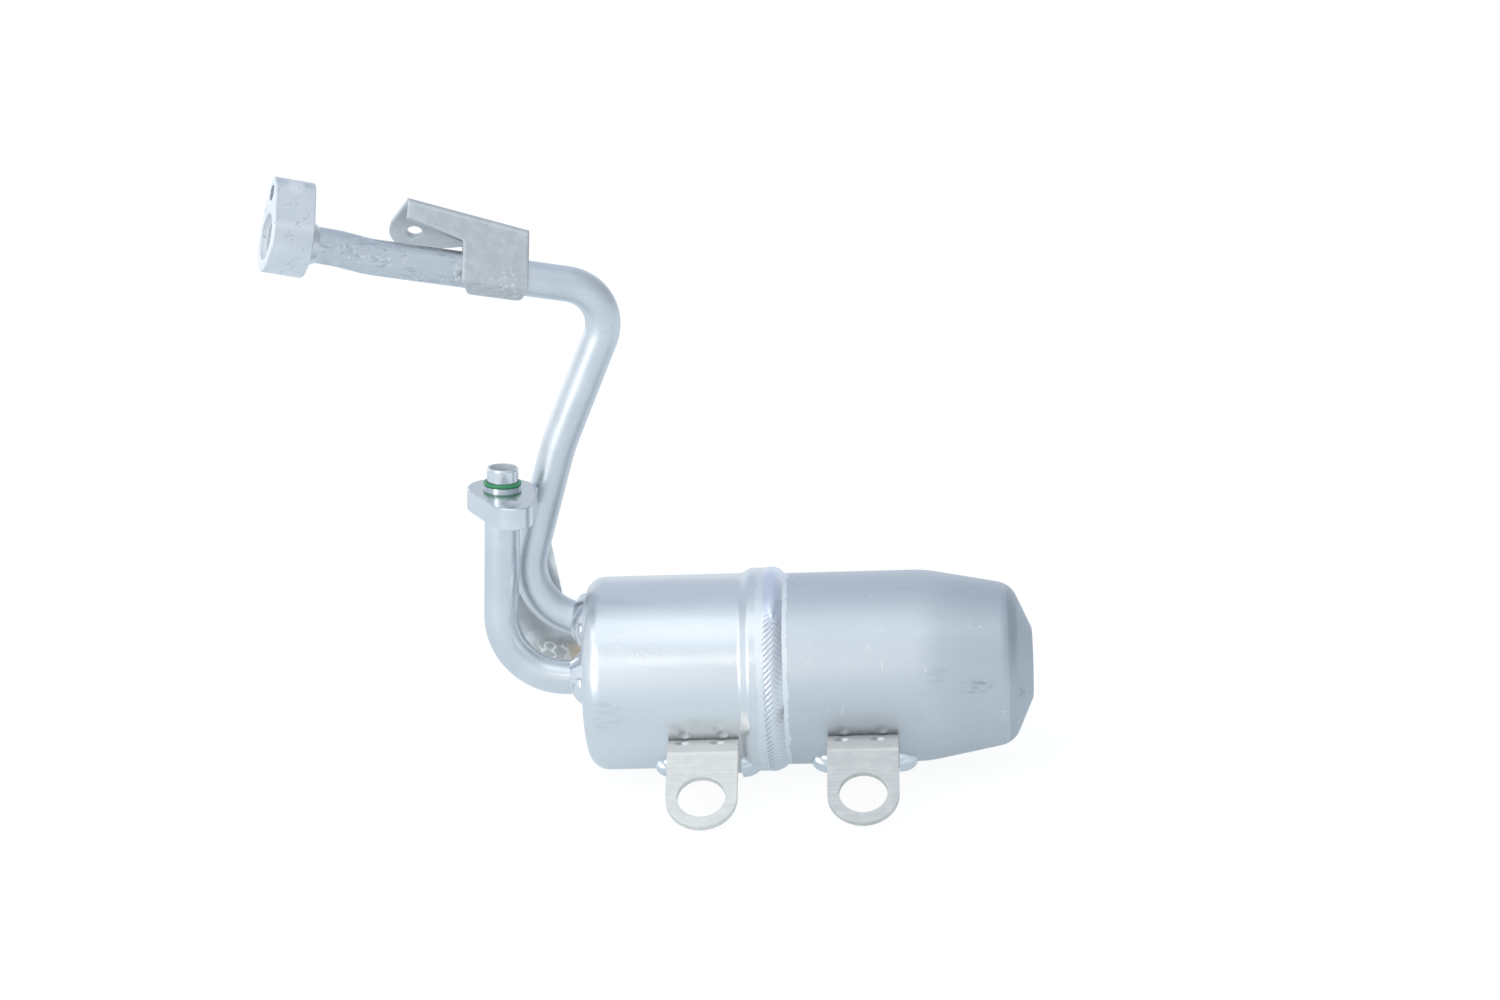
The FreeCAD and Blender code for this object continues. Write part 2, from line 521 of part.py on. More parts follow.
def make_bracket():
    """Channel folded from sheet: web in front of the tube, return under it, back flange with a tab."""
    along, face, rise, ridge, depth = bracket_frame()
    base = LONG_TUBE_TOP_CORNER + along * BRACKET_FROM_TOP_CORNER + face * (TUBE_RADIUS + BRACKET_THICKNESS)
    slope = tan(radians(BRACKET_RIDGE_SLOPE))
    crease = -(TUBE_RADIUS + BRACKET_THICKNESS)
    root_top = BRACKET_RIDGE_HEIGHT + BRACKET_BODY_LENGTH * slope
    end_top = BRACKET_RIDGE_HEIGHT + BRACKET_STRIP_LENGTH * slope
    web_shape = [(0, crease), (0, BRACKET_RIDGE_HEIGHT), (BRACKET_STRIP_LENGTH, end_top),
                 (BRACKET_STRIP_LENGTH, end_top - BRACKET_STRIP_END),
                 (BRACKET_BODY_LENGTH, root_top - BRACKET_STRIP_ROOT), (BRACKET_BODY_LENGTH, crease)]
    web_corners = [base + along * distance + rise * height for distance, height in web_shape]
    web = plate_from(web_corners, face, -BRACKET_THICKNESS)

    heel = base + rise * crease
    toe = heel + along * BRACKET_BODY_LENGTH
    heel_corner = heel - face * BRACKET_RETURN_LENGTH
    toe_corner = toe - along * BRACKET_RETURN_SLANT - face * BRACKET_RETURN_LENGTH
    lower = plate_from([heel, toe, toe_corner, heel_corner], rise, BRACKET_THICKNESS)
    free_corners = [edge for edge in lower.Edges
                    if any(lies_on(edge, corner, corner + rise * BRACKET_THICKNESS)
                           for corner in (toe_corner, heel_corner))]
    lower = lower.makeFillet(BRACKET_RETURN_CORNER, free_corners)

    ridge_start = base + rise * BRACKET_RIDGE_HEIGHT
    ridge_length = BRACKET_STRIP_LENGTH / cos(radians(BRACKET_RIDGE_SLOPE))
    tab_along = ridge_length - BRACKET_TAB_FROM_END
    tab_centre = ridge_start + ridge * tab_along + depth * BRACKET_TAB_DEPTH
    under = ridge.cross(depth).normalize()
    under = under if under.z < 0 else under * -1
    ridge_end = ridge_start + ridge * ridge_length
    flange_root = ridge_start + depth * BRACKET_FLANGE_ROOT
    flange_corners = [ridge_start, ridge_end, tab_tangent(ridge_end, tab_centre, ridge, depth), tab_centre,
                      tab_tangent(flange_root, tab_centre, ridge * -1, depth), flange_root]
    flange = plate_from(flange_corners, under, BRACKET_THICKNESS)
    tab = Part.makeCylinder(BRACKET_TAB_RADIUS, BRACKET_THICKNESS, tab_centre, under)
    body = web.fuse([lower, flange, tab]).removeSplitter()
    folds = [edge for edge in body.Edges
             if lies_on(edge, heel, toe) or lies_on(edge, ridge_start, web_corners[2])]
    body = body.makeFillet(BRACKET_FOLD, folds)
    hole = Part.makeCylinder(BRACKET_TAB_HOLE / 2, BRACKET_THICKNESS, tab_centre, under)
    return body.cut(hole), tab_centre + under * (BRACKET_THICKNESS / 2), under


def tab_tangent(corner, centre, side, depth):
    """Point where a straight edge from a corner touches the tab's round outline."""
    reach = centre - corner
    away = side * reach.dot(side) + depth * reach.dot(depth)
    lean = asin(BRACKET_TAB_RADIUS / away.Length)
    heading = away.normalize()
    across = side * heading.dot(depth) - depth * heading.dot(side)
    direction = heading * cos(lean) + across * sin(lean)
    return corner + direction * (reach.Length * cos(lean))


def lies_on(edge, start, end):
    """True where a straight edge lies on the line through two points."""
    line = Part.makeLine(start, end)
    return all(line.distToShape(Part.Vertex(vertex.Point))[0] < 1e-4 for vertex in edge.Vertexes)


def make_braze_fillets(start, end, outward, tube):
    """Filler in the two grooves between a tube and the sheet that touches it."""
    along = (end - start).normalize()
    side = along.cross(outward).normalize()
    ground = start + outward * TUBE_RADIUS
    corners = [ground - side * BRAZE_FILLET_WIDTH, ground + side * BRAZE_FILLET_WIDTH]
    corners += [corner - outward * BRAZE_FILLET_HEIGHT for corner in reversed(corners)]
    strip = plate_from(corners, along, (end - start).Length)
    return strip.cut(tube)


def make_brace():
    """Flat sheet brazed on the back of the long tube, with its edge at the tank's flat end."""
    y = LONG_TUBE_Y + TUBE_RADIUS
    corners = [Vector(BRACE_TOP_LEFT, y, BRACE_TOP), Vector(BRACE_TOP_RIGHT, y, BRACE_TOP),
               Vector(BRACE_LOW_RIGHT, y, BRACE_LOW_RIGHT_HEIGHT), Vector(0, y, BRACE_LOW_RIGHT_HEIGHT / 2),
               Vector(0, y, BRACE_BOTTOM), Vector(BRACE_FOOT_LEFT, y, BRACE_BOTTOM),
               Vector(BRACE_LEFT, y, BRACE_KNEE_HEIGHT), Vector(BRACE_LEFT, y, BRACE_SIDE_HEIGHT)]
    sharp = BRACE_SHARP_CORNER
    radii = (BRACE_CORNER, BRACE_CORNER, BRACE_CORNER, sharp, sharp, BRACE_CORNER, BRACE_CORNER, BRACE_CORNER)
    return closed_face(corners, radii).extrude(Y_AXIS * BRACE_THICKNESS)


# Inside the tank: the legs of the suction tube and the direction from one to the other
leg_across = around_axis(1.0, SUCTION_LEG_TURN)
leg_side = around_axis(1.0, SUCTION_LEG_TURN - 90)
leg_one = Vector(0, SHORT_TUBE_Y, 0)
leg_two = leg_one + leg_across * SUCTION_LEG_PITCH
leg_middle = (leg_one + leg_two) * 0.5
suction_radius = TUBE_BORE_RADIUS - SUCTION_TUBE_CLEARANCE
suction_start = TANK_WALL + TUBE_INSERTION / 2


def make_suction_tube():
    """U of tube: pushed into the short tube, round at the closed end and back to an open mouth."""
    half = SUCTION_LEG_PITCH / 2
    end_x = SUCTION_BEND_CENTRE + half
    route = [leg_one + X_AXIS * suction_start, leg_one + X_AXIS * SUCTION_BEND_CENTRE]
    bend = Part.Arc(route[1], leg_middle + X_AXIS * end_x, leg_two + X_AXIS * SUCTION_BEND_CENTRE)
    back = leg_two + X_AXIS * SUCTION_MOUTH
    edges = [Part.LineSegment(*route).toShape(), bend.toShape(),
             Part.LineSegment(leg_two + X_AXIS * SUCTION_BEND_CENTRE, back).toShape()]
    path = Part.Wire(edges)
    solids = []
    for radius in (suction_radius, suction_radius - SUCTION_TUBE_WALL):
        circle = Part.Wire(Part.makeCircle(radius, route[0], X_AXIS))
        solids.append(path.makePipeShell([circle], True, False))
    bleed = Part.makeCylinder(BLEED_HOLE / 2, suction_radius, leg_middle + X_AXIS * end_x, X_AXIS)
    return solids[0].cut(solids[1]).cut(bleed), solids[0]


def make_deflector(suction_rod):
    """Dished plate on the suction tube's first leg, in front of the open mouth."""
    front = DEFLECTOR_POSITION
    corners = [Vector(front, 0, 0), Vector(front, DEFLECTOR_RADIUS, 0),
               Vector(front + DEFLECTOR_DEPTH, DEFLECTOR_RADIUS, 0)]
    edges = rounded_edges(corners, [DEFLECTOR_CORNER])
    inner = [Vector(front + DEFLECTOR_DEPTH, DEFLECTOR_RADIUS - DEFLECTOR_THICKNESS, 0),
             Vector(front + DEFLECTOR_THICKNESS, DEFLECTOR_RADIUS - DEFLECTOR_THICKNESS, 0),
             Vector(front + DEFLECTOR_THICKNESS, 0, 0)]
    edges.append(Part.LineSegment(corners[-1], inner[0]).toShape())
    edges += rounded_edges(inner, [DEFLECTOR_CORNER - DEFLECTOR_THICKNESS])
    edges.append(Part.LineSegment(inner[-1], corners[0]).toShape())
    dish = Part.Face(Part.Wire(edges)).revolve(ORIGIN, X_AXIS, 360)
    return dish.cut(suction_rod)


def make_filter(suction_rod):
    """Cage with windows over the bleed hole, and the mesh sleeve round it."""
    start = SUCTION_BEND_CENTRE + SUCTION_LEG_PITCH / 2 - CAGE_BASE_IN_TUBE
    length = suction_radius + CAGE_BASE_IN_TUBE + CAGE_LENGTH
    base = leg_middle + X_AXIS * start
    cage = Part.makeCylinder(CAGE_RADIUS, length, base, X_AXIS)
    cage = cage.cut(Part.makeCylinder(CAGE_RADIUS - CAGE_WALL, length - CAGE_WALL, base, X_AXIS))
    window_x = start + length - CAGE_WALL - CAGE_WINDOW_LENGTH
    for number in range(CAGE_WINDOWS):
        window = Part.makeBox(CAGE_WINDOW_LENGTH, CAGE_WINDOW_WIDTH, CAGE_RADIUS + CAGE_WALL,
                              Vector(window_x, -CAGE_WINDOW_WIDTH / 2, 0))
        window.rotate(ORIGIN, X_AXIS, number * 360 / CAGE_WINDOWS)
        window.translate(leg_middle)
        cage = cage.cut(window)
    inner = CAGE_RADIUS + FIT_GAP / 2
    sleeve_base = leg_middle + X_AXIS * (window_x - SCREEN_OVERLAP)
    sleeve_length = CAGE_WINDOW_LENGTH + SCREEN_OVERLAP * 2
    sleeve = Part.makeCylinder(inner + SCREEN_THICKNESS, sleeve_length, sleeve_base, X_AXIS)
    sleeve = sleeve.cut(Part.makeCylinder(inner, sleeve_length, sleeve_base, X_AXIS))
    return cage.cut(suction_rod), sleeve.cut(suction_rod)


def leg_pair_face(radius):
    """Long round outline round both legs, across the tank at X = 0."""
    return seated(two_lobe_face(radius, radius, SUCTION_LEG_PITCH), leg_one, X_AXIS, leg_across)


def make_clip():
    """Clip that holds the two legs at their distance."""
    face = leg_pair_face(suction_radius + CLIP_RIM)
    block = face.extrude(X_AXIS * CLIP_WIDTH)
    for leg in (leg_one, leg_two):
        block = block.cut(Part.makeCylinder(suction_radius + FIT_GAP / 2, CLIP_WIDTH, leg, X_AXIS))
    block.translate(X_AXIS * CLIP_POSITION)
    return block


def make_bag():
    """Two pouches of drying agent, one each side of the legs, joined by a web between them."""
    length = BAG_END - BAG_START
    pouches = []
    for side, shift in zip((1, -1), BAG_SHIFT):
        offset = suction_radius + BAG_GAP + BAG_HALF_THICKNESS
        centre = leg_middle + leg_side * (side * offset) + leg_across * shift
        ellipse = Part.Ellipse(ORIGIN, BAG_HALF_WIDTH, BAG_HALF_THICKNESS).toShape()
        face = Part.Face(Part.Wire(ellipse))
        face = seated(face, centre + X_AXIS * BAG_START, X_AXIS, leg_side)
        pouch = face.extrude(X_AXIS * length)
        rims = [edge for edge in pouch.Edges if edge.BoundBox.XLength < 1e-6]
        pouches.append(pouch.makeFillet(BAG_END_ROUNDING, rims))
    reach = suction_radius + BAG_GAP + BAG_HALF_THICKNESS
    web = Part.makeBox(BAG_WEB_THICKNESS, reach * 2, length - BAG_END_ROUNDING * 2,
                       Vector(-BAG_WEB_THICKNESS / 2, -reach, BAG_END_ROUNDING))
    web = seated(web, leg_middle + X_AXIS * BAG_START, X_AXIS, leg_side)
    return pouches[0].fuse([pouches[1], web]).removeSplitter()


def make_tie():
    """Band round the two legs, inside the pouches' inner faces, that keeps the bag from sliding."""
    outer = leg_pair_face(suction_radius + TIE_THICKNESS + FIT_GAP)
    inner = leg_pair_face(suction_radius + FIT_GAP)
    band = outer.extrude(X_AXIS * TIE_WIDTH).cut(inner.extrude(X_AXIS * TIE_WIDTH))
    band.translate(X_AXIS * (BAG_START - TIE_WIDTH - FIT_GAP))
    return band


short_tube, long_tube = make_tubes()
flat_cup, domed_cup = make_shells()
male_sideways = turned(Vector(0, -1, 0), Z_AXIS, MALE_BOLT_TURN)
male_sideways = (male_sideways - short_heading * male_sideways.dot(short_heading)).normalize()
female_sideways = (Z_AXIS - long_heading * Z_AXIS.dot(long_heading)).normalize()
female_sideways = turned(female_sideways, long_heading, FEMALE_BLOCK_ROLL)
pipe_lug, lug_hole, lug_normal = make_lug(PIPE_SIDE_LUG_X, TANK_RADIUS)
closed_lug, closed_hole, closed_normal = make_lug(CLOSED_SIDE_LUG_X, DOMED_RADIUS)
suction_tube, suction_rod = make_suction_tube()
cage, screen = make_filter(suction_rod)
bracket, bracket_hole, bracket_normal = make_bracket()
bracket_along, bracket_face = bracket_frame()[:2]
bracket_start = LONG_TUBE_TOP_CORNER + bracket_along * BRACKET_FROM_TOP_CORNER
long_rod = rod_along(long_route, LONG_TUBE_BENDS, TUBE_RADIUS)
upright_heading = (LONG_TUBE_KINK - LONG_TUBE_LOW_CORNER).normalize()
brace_braze_start = LONG_TUBE_LOW_CORNER + upright_heading * BRACE_BRAZE_START
brace_braze_end = brace_braze_start + upright_heading * BRACE_BRAZE_LENGTH

pieces = {
    "pipe_end_shell": flat_cup,
    "closed_end_shell": domed_cup,
    "girth_weld": make_girth_weld(),
    "short_pipe": short_tube,
    "long_pipe": long_tube,
    "short_pipe_weld": make_port_weld(SHORT_TUBE_Y, 0, rod_along(short_route, [SHORT_TUBE_BEND], TUBE_RADIUS),
                                      flat_cup),
    "long_pipe_weld": make_port_weld(LONG_TUBE_Y, LONG_TUBE_Z,
                                     long_rod, flat_cup),
    "male_block": seated(make_male_block(), short_face, short_heading, male_sideways),
    "male_block_braze": seated(make_braze_collar(MALE_BLOCK_THICKNESS), short_face, short_heading,
                               male_sideways),
    "port_o_ring": seated(make_o_ring(), short_face, short_heading, male_sideways),
    "female_block": seated(make_female_block(), LONG_TUBE_PORT, long_heading, female_sideways),
    "female_block_braze": seated(make_braze_collar(FEMALE_BLOCK_THICKNESS), LONG_TUBE_PORT, long_heading,
                                 female_sideways),
    "pipe_bracket": bracket,
    "bracket_braze": make_braze_fillets(bracket_start, bracket_start + bracket_along * BRACKET_BODY_LENGTH,
                                        bracket_face, long_rod),
    "pipe_side_lug": pipe_lug,
    "closed_side_lug": closed_lug,
    "pipe_side_lug_welds": make_lug_welds(PIPE_SIDE_LUG_X, TANK_RADIUS, [flat_cup]),
    "closed_side_lug_welds": make_lug_welds(CLOSED_SIDE_LUG_X, DOMED_RADIUS, [domed_cup]),
    "brace_plate": make_brace(),
    "brace_braze": make_braze_fillets(brace_braze_start, brace_braze_end, Y_AXIS, long_rod),
    "suction_tube": suction_tube,
    "vapour_deflector": make_deflector(suction_rod),
    "oil_filter_cage": cage,
    "oil_filter_screen": screen,
    "tube_clip": make_clip(),
    "desiccant_bag": make_bag(),
    "bag_tie": make_tie(),
}

os.makedirs("parts", exist_ok=True)
for name, shape in pieces.items():
    shape.translate(lug_hole * -1)
    shape.exportStep(os.path.join("parts", name + ".step"))
    print(name, "solids", len(shape.Solids), "valid", shape.isValid(), "volume", round(shape.Volume, 1))
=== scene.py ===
"""Receiver drier: a welded aluminium tank with two pipes, two connection blocks, lugs and a bracket."""

from math import cos, pi, radians, sin

import bpy
from mathutils import Matrix, Vector, noise


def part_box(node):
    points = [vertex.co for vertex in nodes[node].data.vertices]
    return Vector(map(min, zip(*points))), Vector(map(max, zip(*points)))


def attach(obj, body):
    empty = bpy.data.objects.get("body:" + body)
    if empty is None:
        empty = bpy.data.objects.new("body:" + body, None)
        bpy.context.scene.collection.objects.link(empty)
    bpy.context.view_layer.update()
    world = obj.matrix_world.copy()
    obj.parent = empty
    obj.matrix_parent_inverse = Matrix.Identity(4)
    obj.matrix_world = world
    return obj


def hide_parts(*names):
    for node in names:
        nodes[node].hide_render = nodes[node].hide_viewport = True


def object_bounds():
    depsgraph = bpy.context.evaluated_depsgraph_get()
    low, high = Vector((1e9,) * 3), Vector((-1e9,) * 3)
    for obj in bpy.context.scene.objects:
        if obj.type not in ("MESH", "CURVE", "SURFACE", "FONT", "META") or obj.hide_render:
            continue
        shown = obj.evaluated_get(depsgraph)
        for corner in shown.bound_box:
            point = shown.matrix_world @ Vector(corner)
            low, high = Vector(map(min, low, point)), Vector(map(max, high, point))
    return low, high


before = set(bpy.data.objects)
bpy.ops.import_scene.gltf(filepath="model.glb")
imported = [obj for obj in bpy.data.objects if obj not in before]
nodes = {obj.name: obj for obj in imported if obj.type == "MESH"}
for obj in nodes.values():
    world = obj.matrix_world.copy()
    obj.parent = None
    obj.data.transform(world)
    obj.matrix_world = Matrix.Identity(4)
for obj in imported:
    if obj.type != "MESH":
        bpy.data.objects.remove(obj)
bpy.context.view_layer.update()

# Camera: a long lens 1.5 m from the tank, 16 degrees above the table and a little to the right,
# as the photo was taken. Its target is above the flat end, which is where the pipes come out.
flat_cup_low, flat_cup_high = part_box("pipe_end_shell")
FLAT_END_X = flat_cup_low.x
TANK_Y = (flat_cup_low.y + flat_cup_high.y) / 2
TANK_Z = (flat_cup_low.z + flat_cup_high.z) / 2
VIEW_TARGET = Vector((FLAT_END_X + 0.07798, TANK_Y, TANK_Z + 0.08125))
VIEW_DISTANCE = 1.5
VIEW_ELEVATION = radians(16)
VIEW_AZIMUTH = radians(3.35)
VIEW_ROLL = radians(2.527)
FOCAL_PIXELS = 3300
PHOTO_WIDTH = 1500
FILM_WIDTH = 36.0

towards_camera = Vector((sin(VIEW_AZIMUTH) * cos(VIEW_ELEVATION),
                         -cos(VIEW_AZIMUTH) * cos(VIEW_ELEVATION), sin(VIEW_ELEVATION)))
level_right = Vector((cos(VIEW_AZIMUTH), sin(VIEW_AZIMUTH), 0))
level_up = towards_camera.cross(level_right)
right = level_right * cos(VIEW_ROLL) - level_up * sin(VIEW_ROLL)
up = level_up * cos(VIEW_ROLL) + level_right * sin(VIEW_ROLL)
stand = VIEW_TARGET + towards_camera * VIEW_DISTANCE
camera_data = bpy.data.cameras.new("camera")
camera_data.sensor_fit = "HORIZONTAL"
camera_data.sensor_width = FILM_WIDTH
camera_data.lens = FOCAL_PIXELS / PHOTO_WIDTH * FILM_WIDTH
camera = bpy.data.objects.new("camera", camera_data)
camera.matrix_world = Matrix((
    (right.x, up.x, towards_camera.x, stand.x),
    (right.y, up.y, towards_camera.y, stand.y),
    (right.z, up.z, towards_camera.z, stand.z),
    (0, 0, 0, 1)))
bpy.context.scene.collection.objects.link(camera)
bpy.context.scene.camera = camera
bpy.context.scene.view_settings.view_transform = "Standard"

# Table: a sheet of white paper. It shows as white to the camera and, a little bluer, in the
# metal, and it keeps a soft shadow under the tank.
TABLE_REACH = 12.0
TABLE_GAP = 0.0002
PAPER_WHITE = (0.8, 0.8, 0.8)
PAPER_IN_METAL = (0.80, 0.92, 1.0)
GLOW_SHARE = 0.82
GLOW_SHARE_IN_METAL = 0.56
GLOW_STRENGTH = 1.1


class Value:
    """A socket of a shader, so that shader maths reads as plain expressions."""

    def __init__(self, shader, socket):
        self.shader = shader
        self.socket = socket

    def maths(self, operation, *others):
        inputs = dict(enumerate((self,) + others))
        return self.shader.node("ShaderNodeMath", {"operation": operation}, inputs)

    def __add__(self, other):
        return self.maths("ADD", other)

    def __sub__(self, other):
        return self.maths("SUBTRACT", other)

    def __mul__(self, other):
        return self.maths("MULTIPLY", other)

    def __truediv__(self, other):
        return self.maths("DIVIDE", other)

    def __pow__(self, other):
        return self.maths("POWER", other)

    def __radd__(self, other):
        return self.maths("ADD", other)

    def __rmul__(self, other):
        return self.maths("MULTIPLY", other)

    def __rsub__(self, other):
        return self.shader.node("ShaderNodeMath", {"operation": "SUBTRACT"}, {0: other, 1: self})

    def __abs__(self):
        return self.maths("ABSOLUTE")

    def ramp(self, low, high):
        """Smooth step from 0 at low to 1 at high."""
        return self.shader.node("ShaderNodeMapRange", {"interpolation_type": "SMOOTHSTEP"},
                                {"Value": self, "From Min": low, "From Max": high})

    def band(self, low, high, edge):
        """1 between two values, fading to 0 over an edge outside them."""
        return self.ramp(low - edge, low) * (1 - self.ramp(high, high + edge))


class Finish:
    """A procedural material for one kind of surface, in the object's own coordinates in metres."""

    def __init__(self, name, tree=None):
        if tree is None:
            self.material = bpy.data.materials.new(name)
            self.material.use_nodes = True
            tree = self.material.node_tree
        self.tree = tree
        self.tree.nodes.clear()

    def node(self, kind, settings=None, inputs=None, output=0):
        """Adds a node with its settings and its sockets' values or links, and gives one output."""
        made = self.tree.nodes.new(kind)
        for key, value in (settings or {}).items():
            setattr(made, key, value)
        for key, value in (inputs or {}).items():
            socket = made.inputs[key]
            if isinstance(value, Value):
                self.tree.links.new(value.socket, socket)
            elif isinstance(value, tuple) and len(value) == 3 and socket.type == "RGBA":
                socket.default_value = value + (1,)
            else:
                socket.default_value = value
        return Value(self, made.outputs[output]) if len(made.outputs) else None

    def position(self):
        return self.node("ShaderNodeTexCoord", output="Object")

    def flat_normal(self):
        return self.node("ShaderNodeNewGeometry", output="Normal")

    def ray(self, kind):
        """1 for one kind of ray, such as those that come from the camera."""
        return self.node("ShaderNodeLightPath", output="Is %s Ray" % kind)

    def vector_maths(self, operation, first, second, output=0):
        return self.node("ShaderNodeVectorMath", {"operation": operation}, {0: first, 1: second}, output)

    def along(self, vector, direction, centre=(0, 0, 0)):
        """Distance along a direction from a centre."""
        moved = self.vector_maths("SUBTRACT", vector, tuple(centre))
        return self.vector_maths("DOT_PRODUCT", moved, tuple(direction), "Value")

    def stretched(self, vector, factors, rotation=(0, 0, 0)):
        return self.node("ShaderNodeMapping", {"vector_type": "POINT"},
                         {"Vector": vector, "Scale": factors, "Rotation": rotation})

    def vector(self, x, y, z):
        return self.node("ShaderNodeCombineXYZ", None, {"X": x, "Y": y, "Z": z})

    def grain(self, vector, scale, detail=3, roughness=0.55):
        return self.node("ShaderNodeTexNoise", None,
                         {"Vector": vector, "Scale": scale, "Detail": detail, "Roughness": roughness})

    def blend(self, factor, first, second):
        return self.node("ShaderNodeMix", {"data_type": "RGBA"}, {"Factor": factor, 6: first, 7: second}, 2)

    def relief(self, height, distance, strength, normal=None):
        inputs = {"Height": height, "Distance": distance, "Strength": strength}
        if normal is not None:
            inputs["Normal"] = normal
        return self.node("ShaderNodeBump", None, inputs)

    def surface(self, colour, roughness, metallic, normal):
        shader = self.node("ShaderNodeBsdfPrincipled", None, {
            "Base Color": colour, "Roughness": roughness, "Metallic": metallic, "Normal": normal})
        self.node("ShaderNodeOutputMaterial", None, {"Surface": shader})
        return self.material


table_mesh = bpy.data.meshes.new("table")
table_mesh.from_pydata([(-TABLE_REACH, -TABLE_REACH, 0), (TABLE_REACH, -TABLE_REACH, 0),
                        (TABLE_REACH, TABLE_REACH, 0), (-TABLE_REACH, TABLE_REACH, 0)], [], [(0, 1, 2, 3)])
table = bpy.data.objects.new("table", table_mesh)
table.location = (0, 0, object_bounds()[0].z - TABLE_GAP)
bpy.context.scene.collection.objects.link(table)
paper = Finish("white_paper")
in_metal = paper.ray("Glossy")
seen = paper.ray("Camera") + paper.ray("Transmission") + in_metal * GLOW_SHARE_IN_METAL
matt = paper.node("ShaderNodeBsdfDiffuse", None, {"Color": PAPER_WHITE})
glow = paper.node("ShaderNodeEmission", None,
                  {"Color": paper.blend(in_metal, (1, 1, 1), PAPER_IN_METAL), "Strength": GLOW_STRENGTH})
shown = paper.node("ShaderNodeMixShader", None, {0: seen * GLOW_SHARE, 1: matt, 2: glow})
paper.node("ShaderNodeOutputMaterial", None, {"Surface": shown})
table_mesh.materials.append(paper.material)

# Room: a white sweep behind the object, and pale air above and before it, as in a light tent.
# The metal shows it a little darker behind and to the right, which gives the round pieces form.
FRONT_AIR = (0.88, 0.95, 1.0)
HIGH_AIR = (0.78, 0.87, 0.95)
BACK_AIR = (0.61, 0.68, 0.79)
RIGHT_FRONT_AIR = (0.55, 0.62, 0.70)
RIGHT_BACK_AIR = (0.38, 0.43, 0.49)
X_AXIS, Y_AXIS, Z_AXIS = (1, 0, 0), (0, 1, 0), (0, 0, 1)

world = bpy.data.worlds.new("room")
world.use_nodes = True
bpy.context.scene.world = world
room = Finish("room", world.node_tree)
direction = room.node("ShaderNodeTexCoord", output="Generated")
height = room.along(direction, Z_AXIS)
depth = room.along(direction, Y_AXIS)
side = room.along(direction, X_AXIS)
air = room.blend(height.ramp(0.1, 0.8), FRONT_AIR, HIGH_AIR)
air = room.blend(height.ramp(0.05, 0.6) * depth.ramp(0.0, 0.35), air, BACK_AIR)
right_air = room.blend(depth.ramp(-0.6, 0.1), RIGHT_FRONT_AIR, RIGHT_BACK_AIR)
air = room.blend(side.ramp(0.15, 0.85) * 0.85, air, right_air)
sky = room.blend(room.ray("Camera") + room.ray("Transmission"), air, (1, 1, 1))
backdrop = room.node("ShaderNodeBackground", None, {"Color": sky, "Strength": 1.0})
room.node("ShaderNodeOutputWorld", None, {"Surface": backdrop})

# Lamps: a large cloth box above, a tall one to the left and a small one behind. Three narrow
# ones draw the bright lines on the shoulder, the pipes and the tank.
AIM = (0, 0.07, 0.05)


def soft_box(name, place, aim, size, power, colour=(1, 1, 1)):
    """Square lamp with a cloth front."""
    lamp = bpy.data.lights.new(name, "AREA")
    lamp.shape = "RECTANGLE"
    lamp.size, lamp.size_y = size
    lamp.energy = power
    lamp.color = colour
    holder = bpy.data.objects.new(name, lamp)
    holder.location = place
    holder.rotation_euler = (Vector(aim) - Vector(place)).to_track_quat("-Z", "Y").to_euler()
    bpy.context.scene.collection.objects.link(holder)


soft_box("main_soft_box", (-0.15, -0.42, 1.3), (0, 0.07, 0.08), (1.7, 0.75), 1.4)
soft_box("left_soft_box", (-0.98, -1.12, 0.62), AIM, (0.55, 1.25), 4.2, (1.0, 0.99, 0.97))
soft_box("back_soft_box", (-1.15, 1.1, 0.3), (0, 0.07, 0.1), (0.8, 0.6), 0.7)
soft_box("high_left_lamp", (-0.95, -0.25, 1.05), (-0.06, 0.07, 0.05), (0.5, 0.35), 0.30)
soft_box("tall_strip_lamp", (-0.52, -1.28, 0.43), AIM, (0.12, 1.9), 0.7, (1.0, 0.99, 0.96))
soft_box("strip_lamp", (-0.12, -1.15, 0.78), AIM, (0.5, 0.04), 0.20, (1.0, 0.88, 0.72))

# Tank shells: two cups deep-drawn from aluminium sheet, the domed one pushed into the bell of
# the flat one. Drawing leaves faint lines along the wall, the torch leaves white haze beside the
# weld, and handling leaves nicks, smudges and hair-fine scratches.
BELL_X = FLAT_END_X + 0.0825
FRONT_Y = TANK_Y - 0.042
SMUDGE_X = FLAT_END_X + 0.178
DOME_X = FLAT_END_X + 0.1925
ALUMINIUM = (0.83, 0.86, 0.885)
DULL_ALUMINIUM = (0.70, 0.735, 0.77)
FINE_SCRATCH = (0.95, 0.97, 0.98)
BARE_SCRATCH = (0.96, 0.97, 0.98)
TORCH_HAZE = (0.93, 0.95, 0.96)
SMUDGE_GREY = (0.46, 0.50, 0.52)
DOME_PAINTED_SHADE = (0.42, 0.47, 0.51)
STAIN_GREY = (0.34, 0.39, 0.42)


def smooth_sides(piece, degrees=28):
    """Smooth shading that keeps the real edges sharp."""
    for polygon in piece.data.polygons:
        polygon.use_smooth = True
    piece.data.set_sharp_from_angle(angle=radians(degrees))


def dress(node, material):
    """Gives a carried-over solid its finish."""
    piece = nodes[node]
    piece.data.materials.clear()
    piece.data.materials.append(material)
    smooth_sides(piece)


def near(finish, place, centre, size):
    """1 at a point of the surface, fading to 0 at the given half-sizes."""
    moved = finish.vector_maths("SUBTRACT", place, centre)
    reach = finish.node("ShaderNodeVectorMath", {"operation": "LENGTH"},
                        {0: finish.vector_maths("DIVIDE", moved, size)}, "Value")
    return 1 - reach.ramp(0.35, 1.0)


